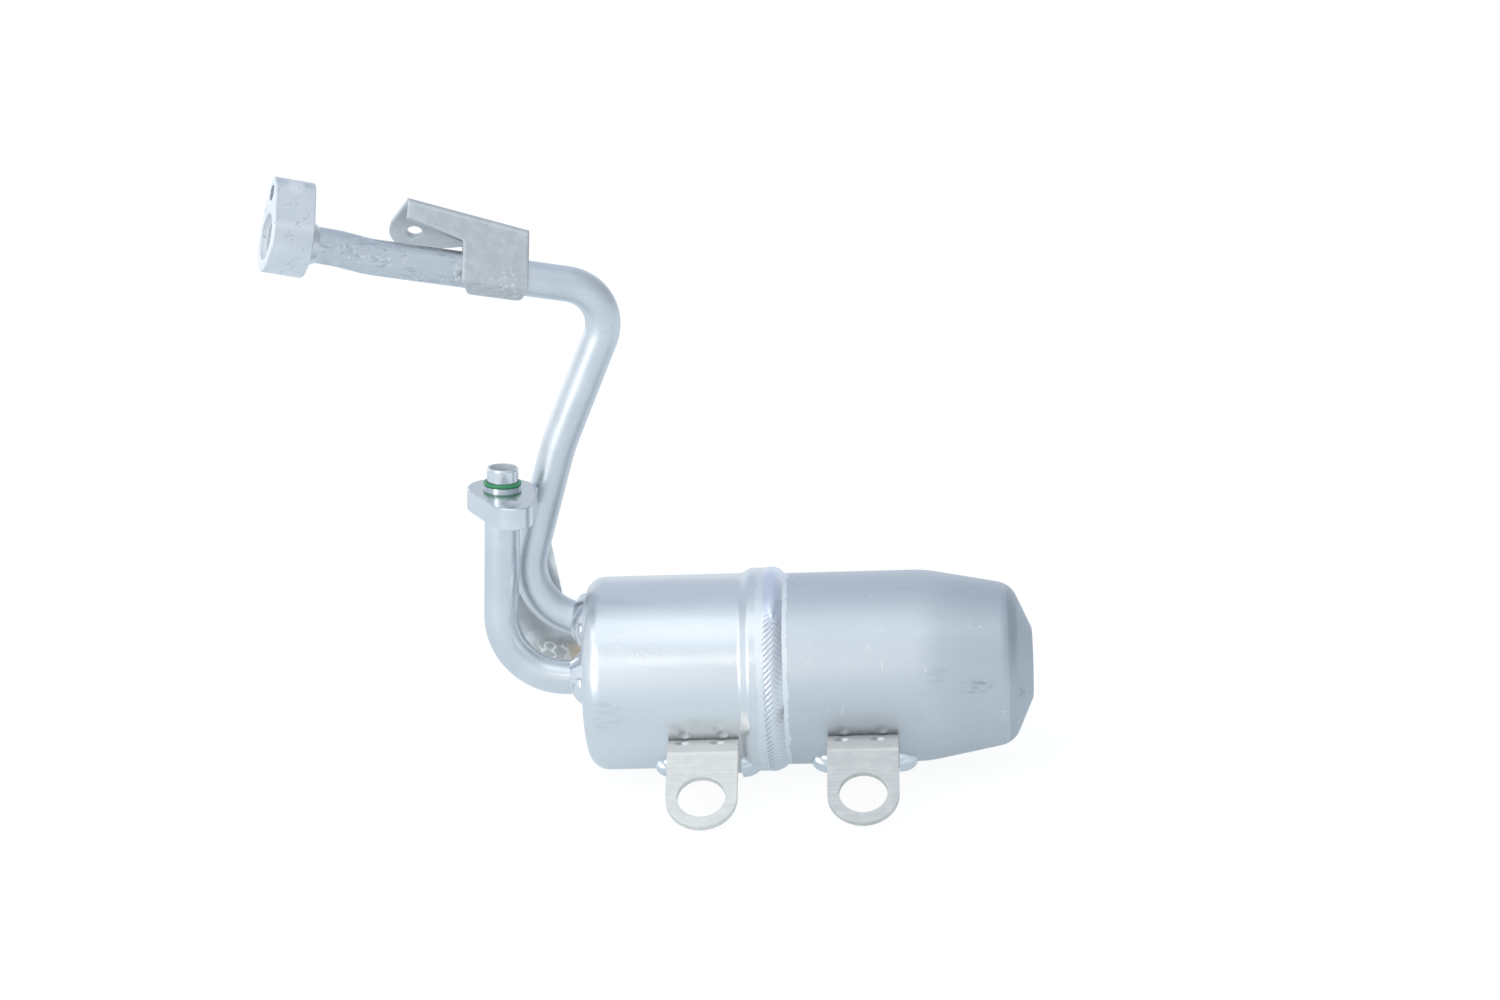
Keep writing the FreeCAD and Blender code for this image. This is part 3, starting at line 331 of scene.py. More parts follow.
def round_tank(finish, place):
    """Angle round the tank's axis."""
    forward = finish.along(place, Y_AXIS, (0, TANK_Y, 0))
    return finish.along(place, Z_AXIS, (0, 0, TANK_Z)).maths("ARCTAN2", forward)


def hairlines(finish, vector, scale, width, gate):
    """Short curved scratches: the lines where a noise crosses its middle, kept only in places."""
    line = 1 - abs(finish.grain(vector, scale, 2, 0.5) - 0.5).ramp(0.0, width)
    apart = finish.grain(finish.stretched(vector, (1.3, 1.1, 0.9), (0.4, 0.8, 0.2)), scale * 0.9, 1)
    return line * apart.ramp(gate, gate + 0.05)


def torch_haze(finish, x, angle, cloud, seed):
    """White strips with wandering edges on both sides of the girth weld."""
    wander = finish.grain(finish.vector(0.0, angle * 5.0, seed), 1.0, 5, 0.6) * 0.0052 - 0.0026
    right_strip = (x - wander).band(BELL_X + 0.0050, BELL_X + 0.0109, 0.0003)
    left_strip = (x + wander + cloud * 0.004).band(BELL_X - 0.0006, BELL_X + 0.0060, 0.0006)
    return right_strip + left_strip * 0.6


def drawn_shell(name, tone, roughness, ring_x, seed, dome_x, stains):
    """Drawn aluminium of one cup, with painted shade towards and over its dome; each stain has a place,
    half-sizes and a strength.
    """
    finish = Finish(name)
    place = finish.position()
    x = finish.along(place, X_AXIS)
    angle = round_tank(finish, place)
    lines = finish.grain(finish.vector(x * 2.0, angle * 60.0, seed), 1.0, 4)
    cloud = finish.grain(place, 28.0, 3)
    broad = finish.grain(finish.vector(x * 9.0, angle * 1.2, seed), 1.6, 2)
    smudge = finish.grain(finish.vector(x * 60.0, angle * 6.0, seed), 1.0, 5, 0.62).ramp(0.60, 0.74)
    scratch = finish.grain(finish.stretched(place, (900, 260, 60), (0.6, 0.4, 0.9)), 1.0, 2, 0.5)
    scratch = scratch.ramp(0.73, 0.78)
    spots = finish.grain(finish.vector(x * 420.0, angle * 20.0, seed), 1.0, 2).ramp(0.74, 0.80)
    haze = torch_haze(finish, x, angle, cloud, seed)
    shade = finish.blend(lines.ramp(0.25, 0.8) * 0.3 + broad.ramp(0.3, 0.75) * 0.4,
                         tuple(part * 0.9 for part in tone), tone)
    shade = finish.blend(smudge * 0.16, shade, SMUDGE_GREY)
    shade = finish.blend(scratch * 0.5 + spots * 0.4, shade, FINE_SCRATCH)
    shade = finish.blend(haze * 0.7, shade, TORCH_HAZE)
    if dome_x is not None:
        # Painted shade: the cup darkens towards its dome and steps darker at the dome's shoulder.
        darker = x.ramp(dome_x - 0.040, dome_x - 0.014) * 0.24 + x.ramp(dome_x, dome_x + 0.0010) * 0.38
        shade = finish.blend(darker, shade, DOME_PAINTED_SHADE)
    for centre, size, strength in stains:
        stain = finish.grain(finish.stretched(place, (140, 300, 420), (0, 0.35, 0)), 1.0, 5, 0.65)
        stain = near(finish, place, centre, size) * stain.ramp(0.42, 0.68)
        shade = finish.blend(stain * strength, shade, STAIN_GREY)
    nicks = finish.grain(finish.stretched(place, (500, 500, 420), (0.3, 0.2, 0.7)), 1.0, 2, 0.5)
    nicks = nicks.ramp(0.70, 0.75) * finish.grain(place, 45.0, 2).ramp(0.50, 0.62)
    streak = finish.grain(finish.vector(x * 26.0, angle * 150.0, seed), 1.0, 3, 0.6).ramp(0.66, 0.72)
    marked = nicks * 0.7 + streak * 0.22 + hairlines(finish, place, 110.0, 0.012, 0.60) * 0.30
    shade = finish.blend(marked, shade, BARE_SCRATCH)
    rough = finish.grain(place, 60.0, 2) * 0.10 + roughness + smudge * 0.12 - scratch * 0.1 + haze * 0.2
    rough = rough + (broad - 0.5) * 0.05 + (lines - 0.5) * 0.03
    ring = abs(x - ring_x).band(-0.0004, 0.0004, 0.0008) * 0.12
    height = lines * 0.35 + cloud * 0.25 + ring - scratch * 0.2
    return finish.surface(shade, rough, 1.0, finish.relief(height, 0.00007, 0.5))


dress("pipe_end_shell", drawn_shell("drawn_cup", ALUMINIUM, 0.24, BELL_X - 0.02, 3.0, None, [
    ((FLAT_END_X + 0.012, FRONT_Y, TANK_Z - 0.006), (0.010, 0.02, 0.012), 0.22),
    ((FLAT_END_X + 0.045, FRONT_Y, TANK_Z - 0.010), (0.012, 0.02, 0.004), 0.20)]))
dress("closed_end_shell", drawn_shell(
    "drawn_domed_cup", DULL_ALUMINIUM, 0.40, FLAT_END_X + 0.156, 11.0, DOME_X, [
        ((SMUDGE_X, FRONT_Y + 0.003, TANK_Z + 0.003), (0.011, 0.02, 0.0045), 0.75),
        ((SMUDGE_X - 0.017, FRONT_Y, TANK_Z + 0.009), (0.007, 0.02, 0.006), 0.3),
        ((SMUDGE_X + 0.021, FRONT_Y + 0.012, TANK_Z - 0.004), (0.002, 0.02, 0.006), 0.9)]))

# Girth weld: one pass of aluminium weld, laid while the tank turned, that closes the two cups.
# Its ripples are small slanted scales, and on top is the smooth lump where the arc was started
# and stopped.
BELL_RADIUS = 0.0468
BELL_STEP = 0.0029
BEAD_SINK = 0.0001
BEAD_FROM = BELL_X - 0.0005
BEAD_TO = BELL_X + 0.0092
BEAD_CREST = BELL_X + 0.0048
BEAD_HALF_WIDTH = 0.0041
BEAD_CROWN = 0.00025
BEAD_COLUMNS = 32
BEAD_STEPS = 1200
RIPPLES = 108
RIPPLE_PITCH = 2 * pi * BELL_RADIUS / RIPPLES
RIPPLE_LEAN = 0.85
LEFT_RIPPLE_HEIGHT = 0.00040
RIGHT_RIPPLE_HEIGHT = 0.00010
LUMP_AT = pi / 2
LUMP_REACH = radians(42)
LUMP_HALF_WIDTH = 0.0046
LUMP_HEIGHT = 0.00045
RIPPLES_FROM = radians(46)
BEAD_UNEVENNESS = 0.00010
BEAD_WANDER = 0.0004
WELD_SILVER = (0.84, 0.86, 0.90)
WELD_GREY = (0.74, 0.76, 0.81)
VALLEY_PAINTED_SHADE = (0.40, 0.43, 0.47)
LUMP_PAINTED_REFLECTION = (0.78, 0.81, 0.92)


def bead_surface(name, points_at, count, across, closed):
    """Skin over a grid of points: count steps along the weld and a row of points across it."""
    rows = count if closed else count + 1
    vertices = [point for step in range(rows) for point in points_at(step / count)]
    faces = []
    for row in range(rows if closed else rows - 1):
        following = (row + 1) % rows
        for column in range(across - 1):
            first, second = row * across + column, following * across + column
            faces.append((first, second, second + 1, first + 1))
    piece_mesh = bpy.data.meshes.new(name)
    piece_mesh.from_pydata(vertices, [], faces)
    for polygon in piece_mesh.polygons:
        polygon.use_smooth = True
    piece = bpy.data.objects.new(name, piece_mesh)
    bpy.context.scene.collection.objects.link(piece)
    return piece


def lay_bead(bead, material, node):
    """Gives a modelled weld its metal, and puts it in the place of its plain solid."""
    bead.data.materials.append(material)
    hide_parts(node)
    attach(bead, "root")


def girth_metal():
    """Weld metal with painted shade in the valleys of its ripples and a painted lilac reflection on its
    lump.
    """
    finish = Finish("girth_weld_metal")
    place = finish.position()
    off_crest = finish.along(place, X_AXIS, (BEAD_CREST, 0, 0))
    angle = round_tank(finish, place)
    phase = angle * RIPPLES - abs(off_crest) * (2 * pi * RIPPLE_LEAN / RIPPLE_PITCH)
    valley = 1 - abs((phase * 0.5).maths("SINE")).ramp(0.0, 0.75)
    rippled = abs(angle - LUMP_AT).ramp(radians(38), RIPPLES_FROM)
    flanks = off_crest.band(-0.0041, -0.0028, 0.0022) * 0.85 + off_crest.band(0.0006, 0.0036, 0.0004) * 0.2
    cloud = finish.grain(place, 240.0, 3)
    shade = finish.blend(cloud.ramp(0.3, 0.8) * 0.5, WELD_GREY, WELD_SILVER)
    # Painted shade in the ripple valleys, strong on the left flank and faint on the right.
    shade = finish.blend(valley * flanks * rippled, shade, VALLEY_PAINTED_SHADE)
    # Painted lilac reflection on the smooth lump, where there are no ripples.
    shade = finish.blend((1 - rippled) * 0.7, shade, LUMP_PAINTED_REFLECTION)
    shade = finish.blend(off_crest.band(-0.0056, -0.0043, 0.0002) * 0.5, shade, TORCH_HAZE)
    return finish.surface(shade, cloud * 0.12 + 0.20, 1.0, finish.relief(cloud, 0.00004, 0.3))


def girth_row(turn):
    """Points across the bead, from the bell's rim to the domed cup, at one place round the tank."""
    angle = turn * 2 * pi
    from_lump = abs(angle - LUMP_AT)
    lump_width = LUMP_HALF_WIDTH * max(0.0, 1 - (from_lump / LUMP_REACH) ** 2) ** 0.7
    rippled = 1 - max(0.0, min(1.0, (RIPPLES_FROM - from_lump) / radians(10)))
    row = []
    for step in range(BEAD_COLUMNS):
        u = step / (BEAD_COLUMNS - 1)
        x = BEAD_FROM + u * (BEAD_TO - BEAD_FROM)
        off_crest = x - BEAD_CREST
        on_bead = max(0.0, 1 - (off_crest / BEAD_HALF_WIDTH) ** 2)
        # The bead is crowned, and falls from the bell's rim to the domed cup.
        radius = BELL_RADIUS - BEAD_SINK - BELL_STEP * u ** 3.0 + BEAD_CROWN * on_bead
        # The ripples lean back from the crest, and are flatter on its right.
        ripple = LEFT_RIPPLE_HEIGHT if off_crest < 0 else RIGHT_RIPPLE_HEIGHT
        phase = RIPPLES * turn - RIPPLE_LEAN * abs(off_crest) / RIPPLE_PITCH
        radius += ripple * min(1.0, on_bead * 2.2) * rippled * (abs(sin(pi * phase)) - 0.6)
        # The lump lies over them, and a slow unevenness over everything.
        if lump_width > 0:
            radius += LUMP_HEIGHT * max(0.0, 1 - (off_crest / lump_width) ** 2) ** 0.5
        radius += BEAD_UNEVENNESS * noise.noise(Vector((angle * 5, u * 2, 4.0))) * sin(pi * u)
        x += BEAD_WANDER * noise.noise(Vector((angle * 7.0, 9.0, u))) * u
        row.append((x, TANK_Y + radius * cos(angle), TANK_Z + radius * sin(angle)))
    return row


girth_bead = bead_surface("girth_bead", girth_row, BEAD_STEPS, BEAD_COLUMNS, True)
lay_bead(girth_bead, girth_metal(), "girth_weld")

# Pipes: drawn aluminium tube, bent on a mandrel. Bending and handling leave dull scuffs and
# short lengthwise scratches, most on the long pipe's top run beside its block.
LONG_PIPE_TOP = Vector((-0.1389, 0.0479, 0.2401))
LONG_PIPE_CORNER = Vector((-0.0331, 0.0837, 0.2134))
TOP_RUN = (LONG_PIPE_CORNER - LONG_PIPE_TOP).normalized()
SHORT_PIPE_RUN = (0.07, 0, 0.997)
SHORT_PIPE_WEAR = 0.06
SCUFF_GREY = (0.50, 0.54, 0.58)
SCUFF_DARK = (0.36, 0.39, 0.42)
RUBBED_WHITE = (0.97, 0.98, 0.99)


def square_to(axis):
    """Two directions at right angles to an axis and to each other."""
    first = Vector(axis).cross(Vector(Y_AXIS)).normalized()
    return first, Vector(axis).cross(first).normalized()


def drawn_tube(name, lengthwise, roughness, scuffed):
    """Drawn tube with faint lines along it, and with wear where scuffed gives more than 0."""
    finish = Finish(name)
    place = finish.position()
    run = finish.along(place, lengthwise)
    first, second = (finish.along(place, square) for square in square_to(lengthwise))
    handled = scuffed(finish, place)
    lines = finish.grain(finish.vector(run * 30.0, first * 700.0, second * 700.0), 1.0, 3)
    wear = finish.grain(finish.vector(run * 160.0, first * 500.0, second * 500.0), 1.0, 5, 0.68)
    cloud = finish.grain(place, 55.0, 4)
    patch = handled * finish.grain(place, 75.0, 2).ramp(0.36, 0.52)
    scuff = (wear.ramp(0.53, 0.66) + hairlines(finish, place, 300.0, 0.035, 0.50) * 0.8) * patch
    scratch = finish.grain(finish.stretched(place, (300, 900, 140), (0.3, 0.8, 0.5)), 1.0, 2)
    lightened = 1 - wear.ramp(0.32, 0.42) + hairlines(finish, place, 210.0, 0.035, 0.52)
    shade = finish.blend(cloud.ramp(0.3, 0.8) * 0.6 + lines * 0.25, DULL_ALUMINIUM, ALUMINIUM)
    shade = finish.blend(handled * 0.40, shade, SCUFF_GREY)
    shade = finish.blend(scuff * 0.7, shade, SCUFF_DARK)
    shade = finish.blend(scratch.ramp(0.72, 0.77) * 0.5 + lightened * patch * 0.6, shade, RUBBED_WHITE)
    rough = cloud * 0.12 + roughness + handled * 0.06
    height = lines * 0.2 - scuff * 0.5 + cloud * 0.2
    return finish.surface(shade, rough, 1.0, finish.relief(height, 0.00012, 0.5))


def beside_the_block(finish, place):
    """Wear that is full beside the female block and faint on the rest of the long pipe."""
    return finish.along(place, TOP_RUN, LONG_PIPE_TOP).band(-0.02, 0.045, 0.01) * 0.9 + 0.12


def all_along(finish, place):
    """The short pipe's wear, faint and even."""
    return SHORT_PIPE_WEAR


dress("long_pipe", drawn_tube("drawn_long_tube", TOP_RUN, 0.33, beside_the_block))
dress("short_pipe", drawn_tube("drawn_short_tube", SHORT_PIPE_RUN, 0.20, all_along))

# Port welds: each tube is welded round where it enters the flat end. A few lumpy, wet-looking
# drops lie at the foot of a cone of filler that was drawn up the tube.
SHORT_PORT = Vector((FLAT_END_X, TANK_Y - 0.004, TANK_Z))
LONG_PORT = Vector((FLAT_END_X, TANK_Y + 0.0134, TANK_Z + 0.0215))
COLLAR_SINK = 0.0012
COLLAR_LENGTH = 0.0090
COLLAR_FOOT = 0.0130
COLLAR_TIP = 0.0079
COLLAR_BULGE = 0.0009
COLLAR_UNEVENNESS = 0.00025
COLLAR_COLUMNS = 30
COLLAR_STEPS = 300
COLLAR_LUMP_MIDDLE = 0.50
COLLAR_LUMP_SPREAD = 0.37
COLLAR_LUMPS = ((191, 0.50, 0.0027), (243, 0.30, 0.0014), (300, 0.40, 0.0014), (40, 0.38, 0.0015))


def weld_metal(name, tint, roughness, fine):
    """Weld or braze metal with soft patches of soot and a fine grain."""
    finish = Finish(name)
    place = finish.position()
    soot = finish.grain(place, 180.0, 3).ramp(0.45, 0.8)
    shade = finish.blend(soot * 0.3, tint, tuple(part * 0.78 for part in tint))
    rough = finish.grain(place, 240.0, 2) * 0.12 + roughness
    return finish.surface(shade, rough, 1.0, finish.relief(finish.grain(place, fine, 2), 0.00004, 0.3))


def port_collar(name, centre, seed):
    """Cone of filler with a few round lumps of weld where it meets the tank."""
    def ring(turn):
        angle = turn * 2 * pi
        row = []
        for step in range(COLLAR_COLUMNS):
            u = step / (COLLAR_COLUMNS - 1)
            out = COLLAR_SINK - COLLAR_LENGTH * u
            radius = COLLAR_FOOT - (COLLAR_FOOT - COLLAR_TIP) * u ** 0.9 + COLLAR_BULGE * sin(pi * u)
            # Each lump is half an egg that stands on the cone.
            for turn_at, reach, swell in COLLAR_LUMPS:
                apart = (angle - radians(turn_at + seed) + pi) % (2 * pi) - pi
                inside = 1 - (apart / reach) ** 2 - ((u - COLLAR_LUMP_MIDDLE) / COLLAR_LUMP_SPREAD) ** 2
                radius += swell * max(0.0, inside) ** 0.5
            uneven = noise.noise(Vector((cos(angle) * 2, sin(angle) * 2, seed + u * 2)))
            radius += COLLAR_UNEVENNESS * sin(pi * u) * uneven
            row.append((centre.x + out, centre.y + radius * cos(angle), centre.z + radius * sin(angle)))
        return row
    return bead_surface(name, ring, COLLAR_STEPS, COLLAR_COLUMNS, True)


port_metal = weld_metal("port_weld_metal", (0.80, 0.82, 0.86), 0.17, 300.0)
lay_bead(port_collar("short_port_bead", SHORT_PORT, 2.0), port_metal, "short_pipe_weld")
lay_bead(port_collar("long_port_bead", LONG_PORT, 7.0), port_metal, "long_pipe_weld")

# Connection blocks: aluminium bar, milled and drilled. The faces show fine tool marks round the
# port, the bores are dull, and the sides are satin with a few short dark scratches.
SPIGOT_AXIS = Vector((0.06976, 0, 0.99756))
SPIGOT_PLACE = Vector((-0.08835, 0.06628, 0.1327))
SPIGOT_BORE = 0.0060
MALE_BOLT_HOLE = (-0.08191, 0.04103, 0.12206)
PORT_AXIS = Vector((-0.9061, -0.33035, 0.26428))
PORT_PLACE = Vector((-0.17533, 0.03493, 0.25216))
PORT_BORE = 0.0106
FEMALE_BOLT_HOLE = (-0.16931, 0.04221, 0.26916)
BOLT_HOLE_REACH = (0.009, 0.009, 0.009)
TOOL_MARKS = 5200.0
MILLED_BRIGHT = (0.82, 0.84, 0.86)
MILLED_GREY = (0.74, 0.77, 0.80)
FACE_PAINTED_SHADE = (0.42, 0.46, 0.50)
CUT_DARK = (0.34, 0.36, 0.38)


def milled_block(name, axis, centre, bore, bolt_hole, roughness, scratches, painted_face_shade):
    """Milled aluminium, turned round a bore on its axis, with a dull bore and bolt hole, and painted shade
    on the faces that look along its axis.
    """
    finish = Finish(name)
    place = finish.position()
    depth = finish.along(place, axis, centre)
    first, second = (finish.along(place, square, centre) for square in square_to(axis))
    from_axis = (first * first + second * second) ** 0.5
    facing = finish.along(finish.flat_normal(), axis)
    turned = finish.grain(finish.vector(from_axis * TOOL_MARKS, depth * TOOL_MARKS, 0.0), 1.0, 2)
    cloud = finish.grain(place, 70.0, 3)
    cuts = hairlines(finish, place, 230.0, 0.024, 0.54) * scratches * 0.8
    shade = finish.blend(cloud.ramp(0.3, 0.8), MILLED_GREY, MILLED_BRIGHT)
    shade = finish.blend(cuts * 0.6, shade, CUT_DARK)
    # Painted shade on the faces that look along the axis, strong on the male block's top.
    shade = finish.blend(facing.ramp(0.7, 0.95) * painted_face_shade, shade, FACE_PAINTED_SHADE)
    in_hole = near(finish, place, bolt_hole, BOLT_HOLE_REACH).ramp(0.0, 0.2)
    bored = 1 - from_axis.ramp(bore, bore + 0.0002) + in_hole * (1 - abs(facing)).ramp(0.5, 0.9)
    rough = turned * 0.08 + roughness + cuts * 0.2 + bored * 0.3
    height = turned * 0.3 - cuts * 0.6
    return finish.surface(shade, rough, 1 - bored * 0.7, finish.relief(height, 0.00006, 0.5))


dress("male_block", milled_block("milled_male_block", SPIGOT_AXIS, SPIGOT_PLACE, SPIGOT_BORE,
                                 MALE_BOLT_HOLE, 0.15, 0.15, 0.55))
dress("female_block", milled_block("milled_female_block", PORT_AXIS, PORT_PLACE, PORT_BORE,
                                   FEMALE_BOLT_HOLE, 0.30, 1.0, 0.12))

# Braze rings: aluminium filler, melted with a torch until it ran into the joint between each
# block, the bracket or the brace plate and its tube. It stays a little greyer than the tube.
braze_metal = weld_metal("braze_metal", (0.76, 0.78, 0.80), 0.26, 900.0)
for node in ("male_block_braze", "female_block_braze", "bracket_braze", "brace_braze"):
    dress(node, braze_metal)

# Seal ring: moulded green rubber, stretched over the spigot into the groove at its foot. It has
# the soft, slightly grainy shine of oiled rubber.
rubber = Finish("green_rubber")
rubber_grain = rubber.grain(rubber.position(), 900.0, 2)
green = rubber.blend(rubber_grain, (0.035, 0.26, 0.10), (0.06, 0.34, 0.15))
dress("port_o_ring", rubber.surface(green, rubber_grain * 0.15 + 0.30, 0.0,
                                    rubber.relief(rubber_grain, 0.00003, 0.4)))

# Lugs: pressed from rolled aluminium sheet, with rolling lines along the tank and two dimples
# pressed into the bend to stiffen it.
ARM_HEADING = Vector((0, -0.82904, -0.55919))
PIPE_SIDE_HOLE_X = 0.0
PIPE_SIDE_BRIGHT = (0.93, 0.90, 0.84)
PIPE_SIDE_DULL = (0.76, 0.75, 0.72)
CLOSED_SIDE_HOLE_X = 0.072
# The lug on the closed side takes the same sheet in darker tones: painted shade.
CLOSED_SIDE_SHADED_TONE = (0.81, 0.79, 0.75)
CLOSED_SIDE_SHADED_DULL = (0.63, 0.62, 0.60)
BEND_FROM_HOLE = -0.0249
FLAT_FROM_HOLE = -0.0242
DIMPLE_FROM_HOLE = -0.0294
DIMPLE_FROM_MIDDLE = 0.0080
DIMPLE_HALF_HEIGHT = 0.0015
# The bend and its dimples are drawn with painted shade and painted highlights.
BEND_PAINTED_SHADE = (0.50, 0.48, 0.47)
BEND_PAINTED_HIGHLIGHT = (1.0, 0.95, 0.86)
DIMPLE_PAINTED_SHADE = (-0.0026, 0.0030, (0.25, 0.25, 0.26), 0.6)
DIMPLE_PAINTED_HIGHLIGHT = (0.0, 0.0022, (1, 1, 1), 0.9)


def painted_bend_light(finish, place, shade, hole_x):
    """Painted shade round the bend of a lug, a painted highlight where it meets the flat, and at two
    dimples a painted highlight with painted shade beside it.
    """
    from_hole = finish.along(place, ARM_HEADING)
    bent = 1 - from_hole.ramp(BEND_FROM_HOLE, FLAT_FROM_HOLE)
    shade = finish.blend(bent * 0.42, shade, BEND_PAINTED_SHADE)
    shade = finish.blend(from_hole.band(-0.0240, -0.0228, 0.0003) * 0.3, shade, BEND_PAINTED_HIGHLIGHT)
    for side in (-1, 1):
        x = finish.along(place, X_AXIS, (hole_x + side * DIMPLE_FROM_MIDDLE, 0, 0))
        for shift, half_width, colour, strength in (DIMPLE_PAINTED_SHADE, DIMPLE_PAINTED_HIGHLIGHT):
            across = (x - shift) / half_width
            rise = (from_hole - DIMPLE_FROM_HOLE) / DIMPLE_HALF_HEIGHT
            spot = 1 - ((across * across + rise * rise) ** 0.5).ramp(0.4, 1.0)
            shade = finish.blend(spot * strength, shade, colour)
    return shade


def rolled_sheet(name, tone, dull_tone, roughness, lengthwise, crosswise,
                 lined=0.5, edge=0.0005, scored=None, hole_x=None):
    """Rolled sheet with lines, mottle and painted highlights on its edges, and a scored patch, or painted
    shade and highlights on a lug's bend, if given.
    """
    finish = Finish(name)
    place = finish.position()
    run = finish.along(place, lengthwise)
    across = finish.along(place, crosswise)
    lines = finish.grain(finish.vector(run * 24.0, across * 1500.0, 2.0), 1.0, 3)
    mottle = finish.grain(place, 220.0, 4, 0.6)
    cloud = finish.grain(place, 40.0, 2)
    scratch = finish.grain(finish.vector(run * 1000.0, across * 220.0, 5.0), 1.0, 3).ramp(0.70, 0.75)
    clean = lines.ramp(0.3, 0.7) * lined + mottle.ramp(0.35, 0.7) * (0.9 - lined) + cloud * 0.2 - 0.1
    # Edges, found from the rounded normal, are lightened: painted highlights.
    rounded = finish.node("ShaderNodeBevel", {"samples": 4}, {"Radius": edge})
    agreement = finish.vector_maths("DOT_PRODUCT", rounded, finish.flat_normal(), "Value")
    lightened = 1 - agreement.ramp(0.80, 0.985)
    shade = finish.blend(clean, dull_tone, tone)
    shade = finish.blend(scratch * 0.5 + lightened * 0.7, shade, (0.95, 0.96, 0.96))
    if hole_x is not None:
        shade = painted_bend_light(finish, place, shade, hole_x)
    if scored is not None:
        cuts = hairlines(finish, place, 330.0, 0.035, 0.49) * 0.8
        shade = finish.blend(cuts * near(finish, place, *scored), shade, (0.98, 0.98, 0.98))
    rough = mottle * 0.16 + roughness + lines * 0.06
    height = lines * lined * 0.8 + mottle * 0.3
    return finish.surface(shade, rough, 1.0, finish.relief(height, 0.0001, 0.5, rounded))


dress("pipe_side_lug", rolled_sheet("rolled_lug_sheet", PIPE_SIDE_BRIGHT, PIPE_SIDE_DULL, 0.36,
                                    X_AXIS, ARM_HEADING, hole_x=PIPE_SIDE_HOLE_X))
dress("closed_side_lug", rolled_sheet("shaded_lug_sheet", CLOSED_SIDE_SHADED_TONE, CLOSED_SIDE_SHADED_DULL, 0.36,
                                      X_AXIS, ARM_HEADING, hole_x=CLOSED_SIDE_HOLE_X))

# Lug welds: a fillet of aluminium weld along both sides of each lug's foot, laid by hand, so it
# is round, slightly lumpy and full at its ends.
LUG_BEAD_START = 226.5
LUG_BEAD_END = 256.0
LUG_BEAD_WIDTH = 0.0075
LUG_BEAD_HEIGHT = 0.0046
LUG_BEAD_SINK = 0.0003
LUG_BEAD_OVERLAP = 0.0002
LUG_BEAD_RIPPLES = 11
LUG_BEAD_STEPS = 90
LUG_BEAD_COLUMNS = 13
PIPE_SIDE_SEAT = 0.0445
CLOSED_SIDE_SEAT = 0.0440


def lug_bead(name, edge_x, side, seat, seed):
    """One fillet along a side of a lug's foot, on the tank's radius there."""
    def section(part):
        angle = radians(LUG_BEAD_START + (LUG_BEAD_END - LUG_BEAD_START) * part)
        end = min(1.0, min(part, 1 - part) * 7) ** 0.5
        lumps = noise.noise(Vector((part * 9, seed, 2.0)))
        swell = 1 + 0.16 * lumps + 0.06 * sin(part * 2 * pi * LUG_BEAD_RIPPLES)
        row = []
        for step in range(LUG_BEAD_COLUMNS):
            turn = pi / 2 * step / (LUG_BEAD_COLUMNS - 1)
            out = LUG_BEAD_WIDTH * end * swell * sin(turn)
            rise = LUG_BEAD_HEIGHT * end * swell * cos(turn)
            reach = seat - LUG_BEAD_SINK + rise
            row.append((edge_x + side * (out - LUG_BEAD_OVERLAP),
                        TANK_Y + reach * cos(angle), TANK_Z + reach * sin(angle)))
        return row
    return bead_surface(name, section, LUG_BEAD_STEPS, LUG_BEAD_COLUMNS, False)


lug_bead_metal = weld_metal("lug_weld_metal", (0.80, 0.83, 0.87), 0.15, 300.0)
for lug, seat in (("pipe_side_lug", PIPE_SIDE_SEAT), ("closed_side_lug", CLOSED_SIDE_SEAT)):
    lug_low, lug_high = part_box(lug)
    for ending, side, edge_x in (("_left_bead", -1, lug_low.x), ("_right_bead", 1, lug_high.x)):
        bead = lug_bead(lug + ending, edge_x, side, seat, edge_x * 90)
        lay_bead(bead, lug_bead_metal, lug + "_welds")

# Bracket: folded from zinc-coated steel sheet and brazed along the long pipe. The coat is
# mottled grey and scored on the web, with painted highlights on its folds and edges.
BRACKET_ACROSS = TOP_RUN.cross(Vector((0, -0.82, 0.57)))
SCORED_PLACE = (-0.078, 0.06, 0.221)
SCORED_SIZE = (0.022, 0.03, 0.016)
ZINC_BRIGHT = (0.72, 0.73, 0.73)
ZINC_DULL = (0.60, 0.62, 0.63)
dress("pipe_bracket", rolled_sheet("bracket_sheet", ZINC_BRIGHT, ZINC_DULL, 0.36,
                                   TOP_RUN, BRACKET_ACROSS, 0.1, 0.0018, (SCORED_PLACE, SCORED_SIZE)))

# Brace plate: thin sheet, brazed to the long pipe and overheated by it, so it is glossy and a
# little wavy, with a straw-coloured heat tint near the tank and some spatter. One patch has a
# painted dark reflection crossed by squiggly painted bright reflections.
PLATE_Y = TANK_Y + 0.0214
PALE_SHEET = (0.92, 0.91, 0.89)
GREY_SHEET = (0.76, 0.76, 0.76)
STRAW_TINT = (0.85, 0.62, 0.38)
DARK_PAINTED_REFLECTION = (0.42, 0.40, 0.38)
BRIGHT_PAINTED_REFLECTION = (1.0, 1.0, 0.98)
SPATTER_WHITE = (0.96, 0.96, 0.94)
REFLECTION_PATCH_PLACE = (FLAT_END_X - 0.0205, PLATE_Y, TANK_Z + 0.0045)
SPATTER_PLACE = (FLAT_END_X - 0.0055, PLATE_Y, TANK_Z + 0.0071)

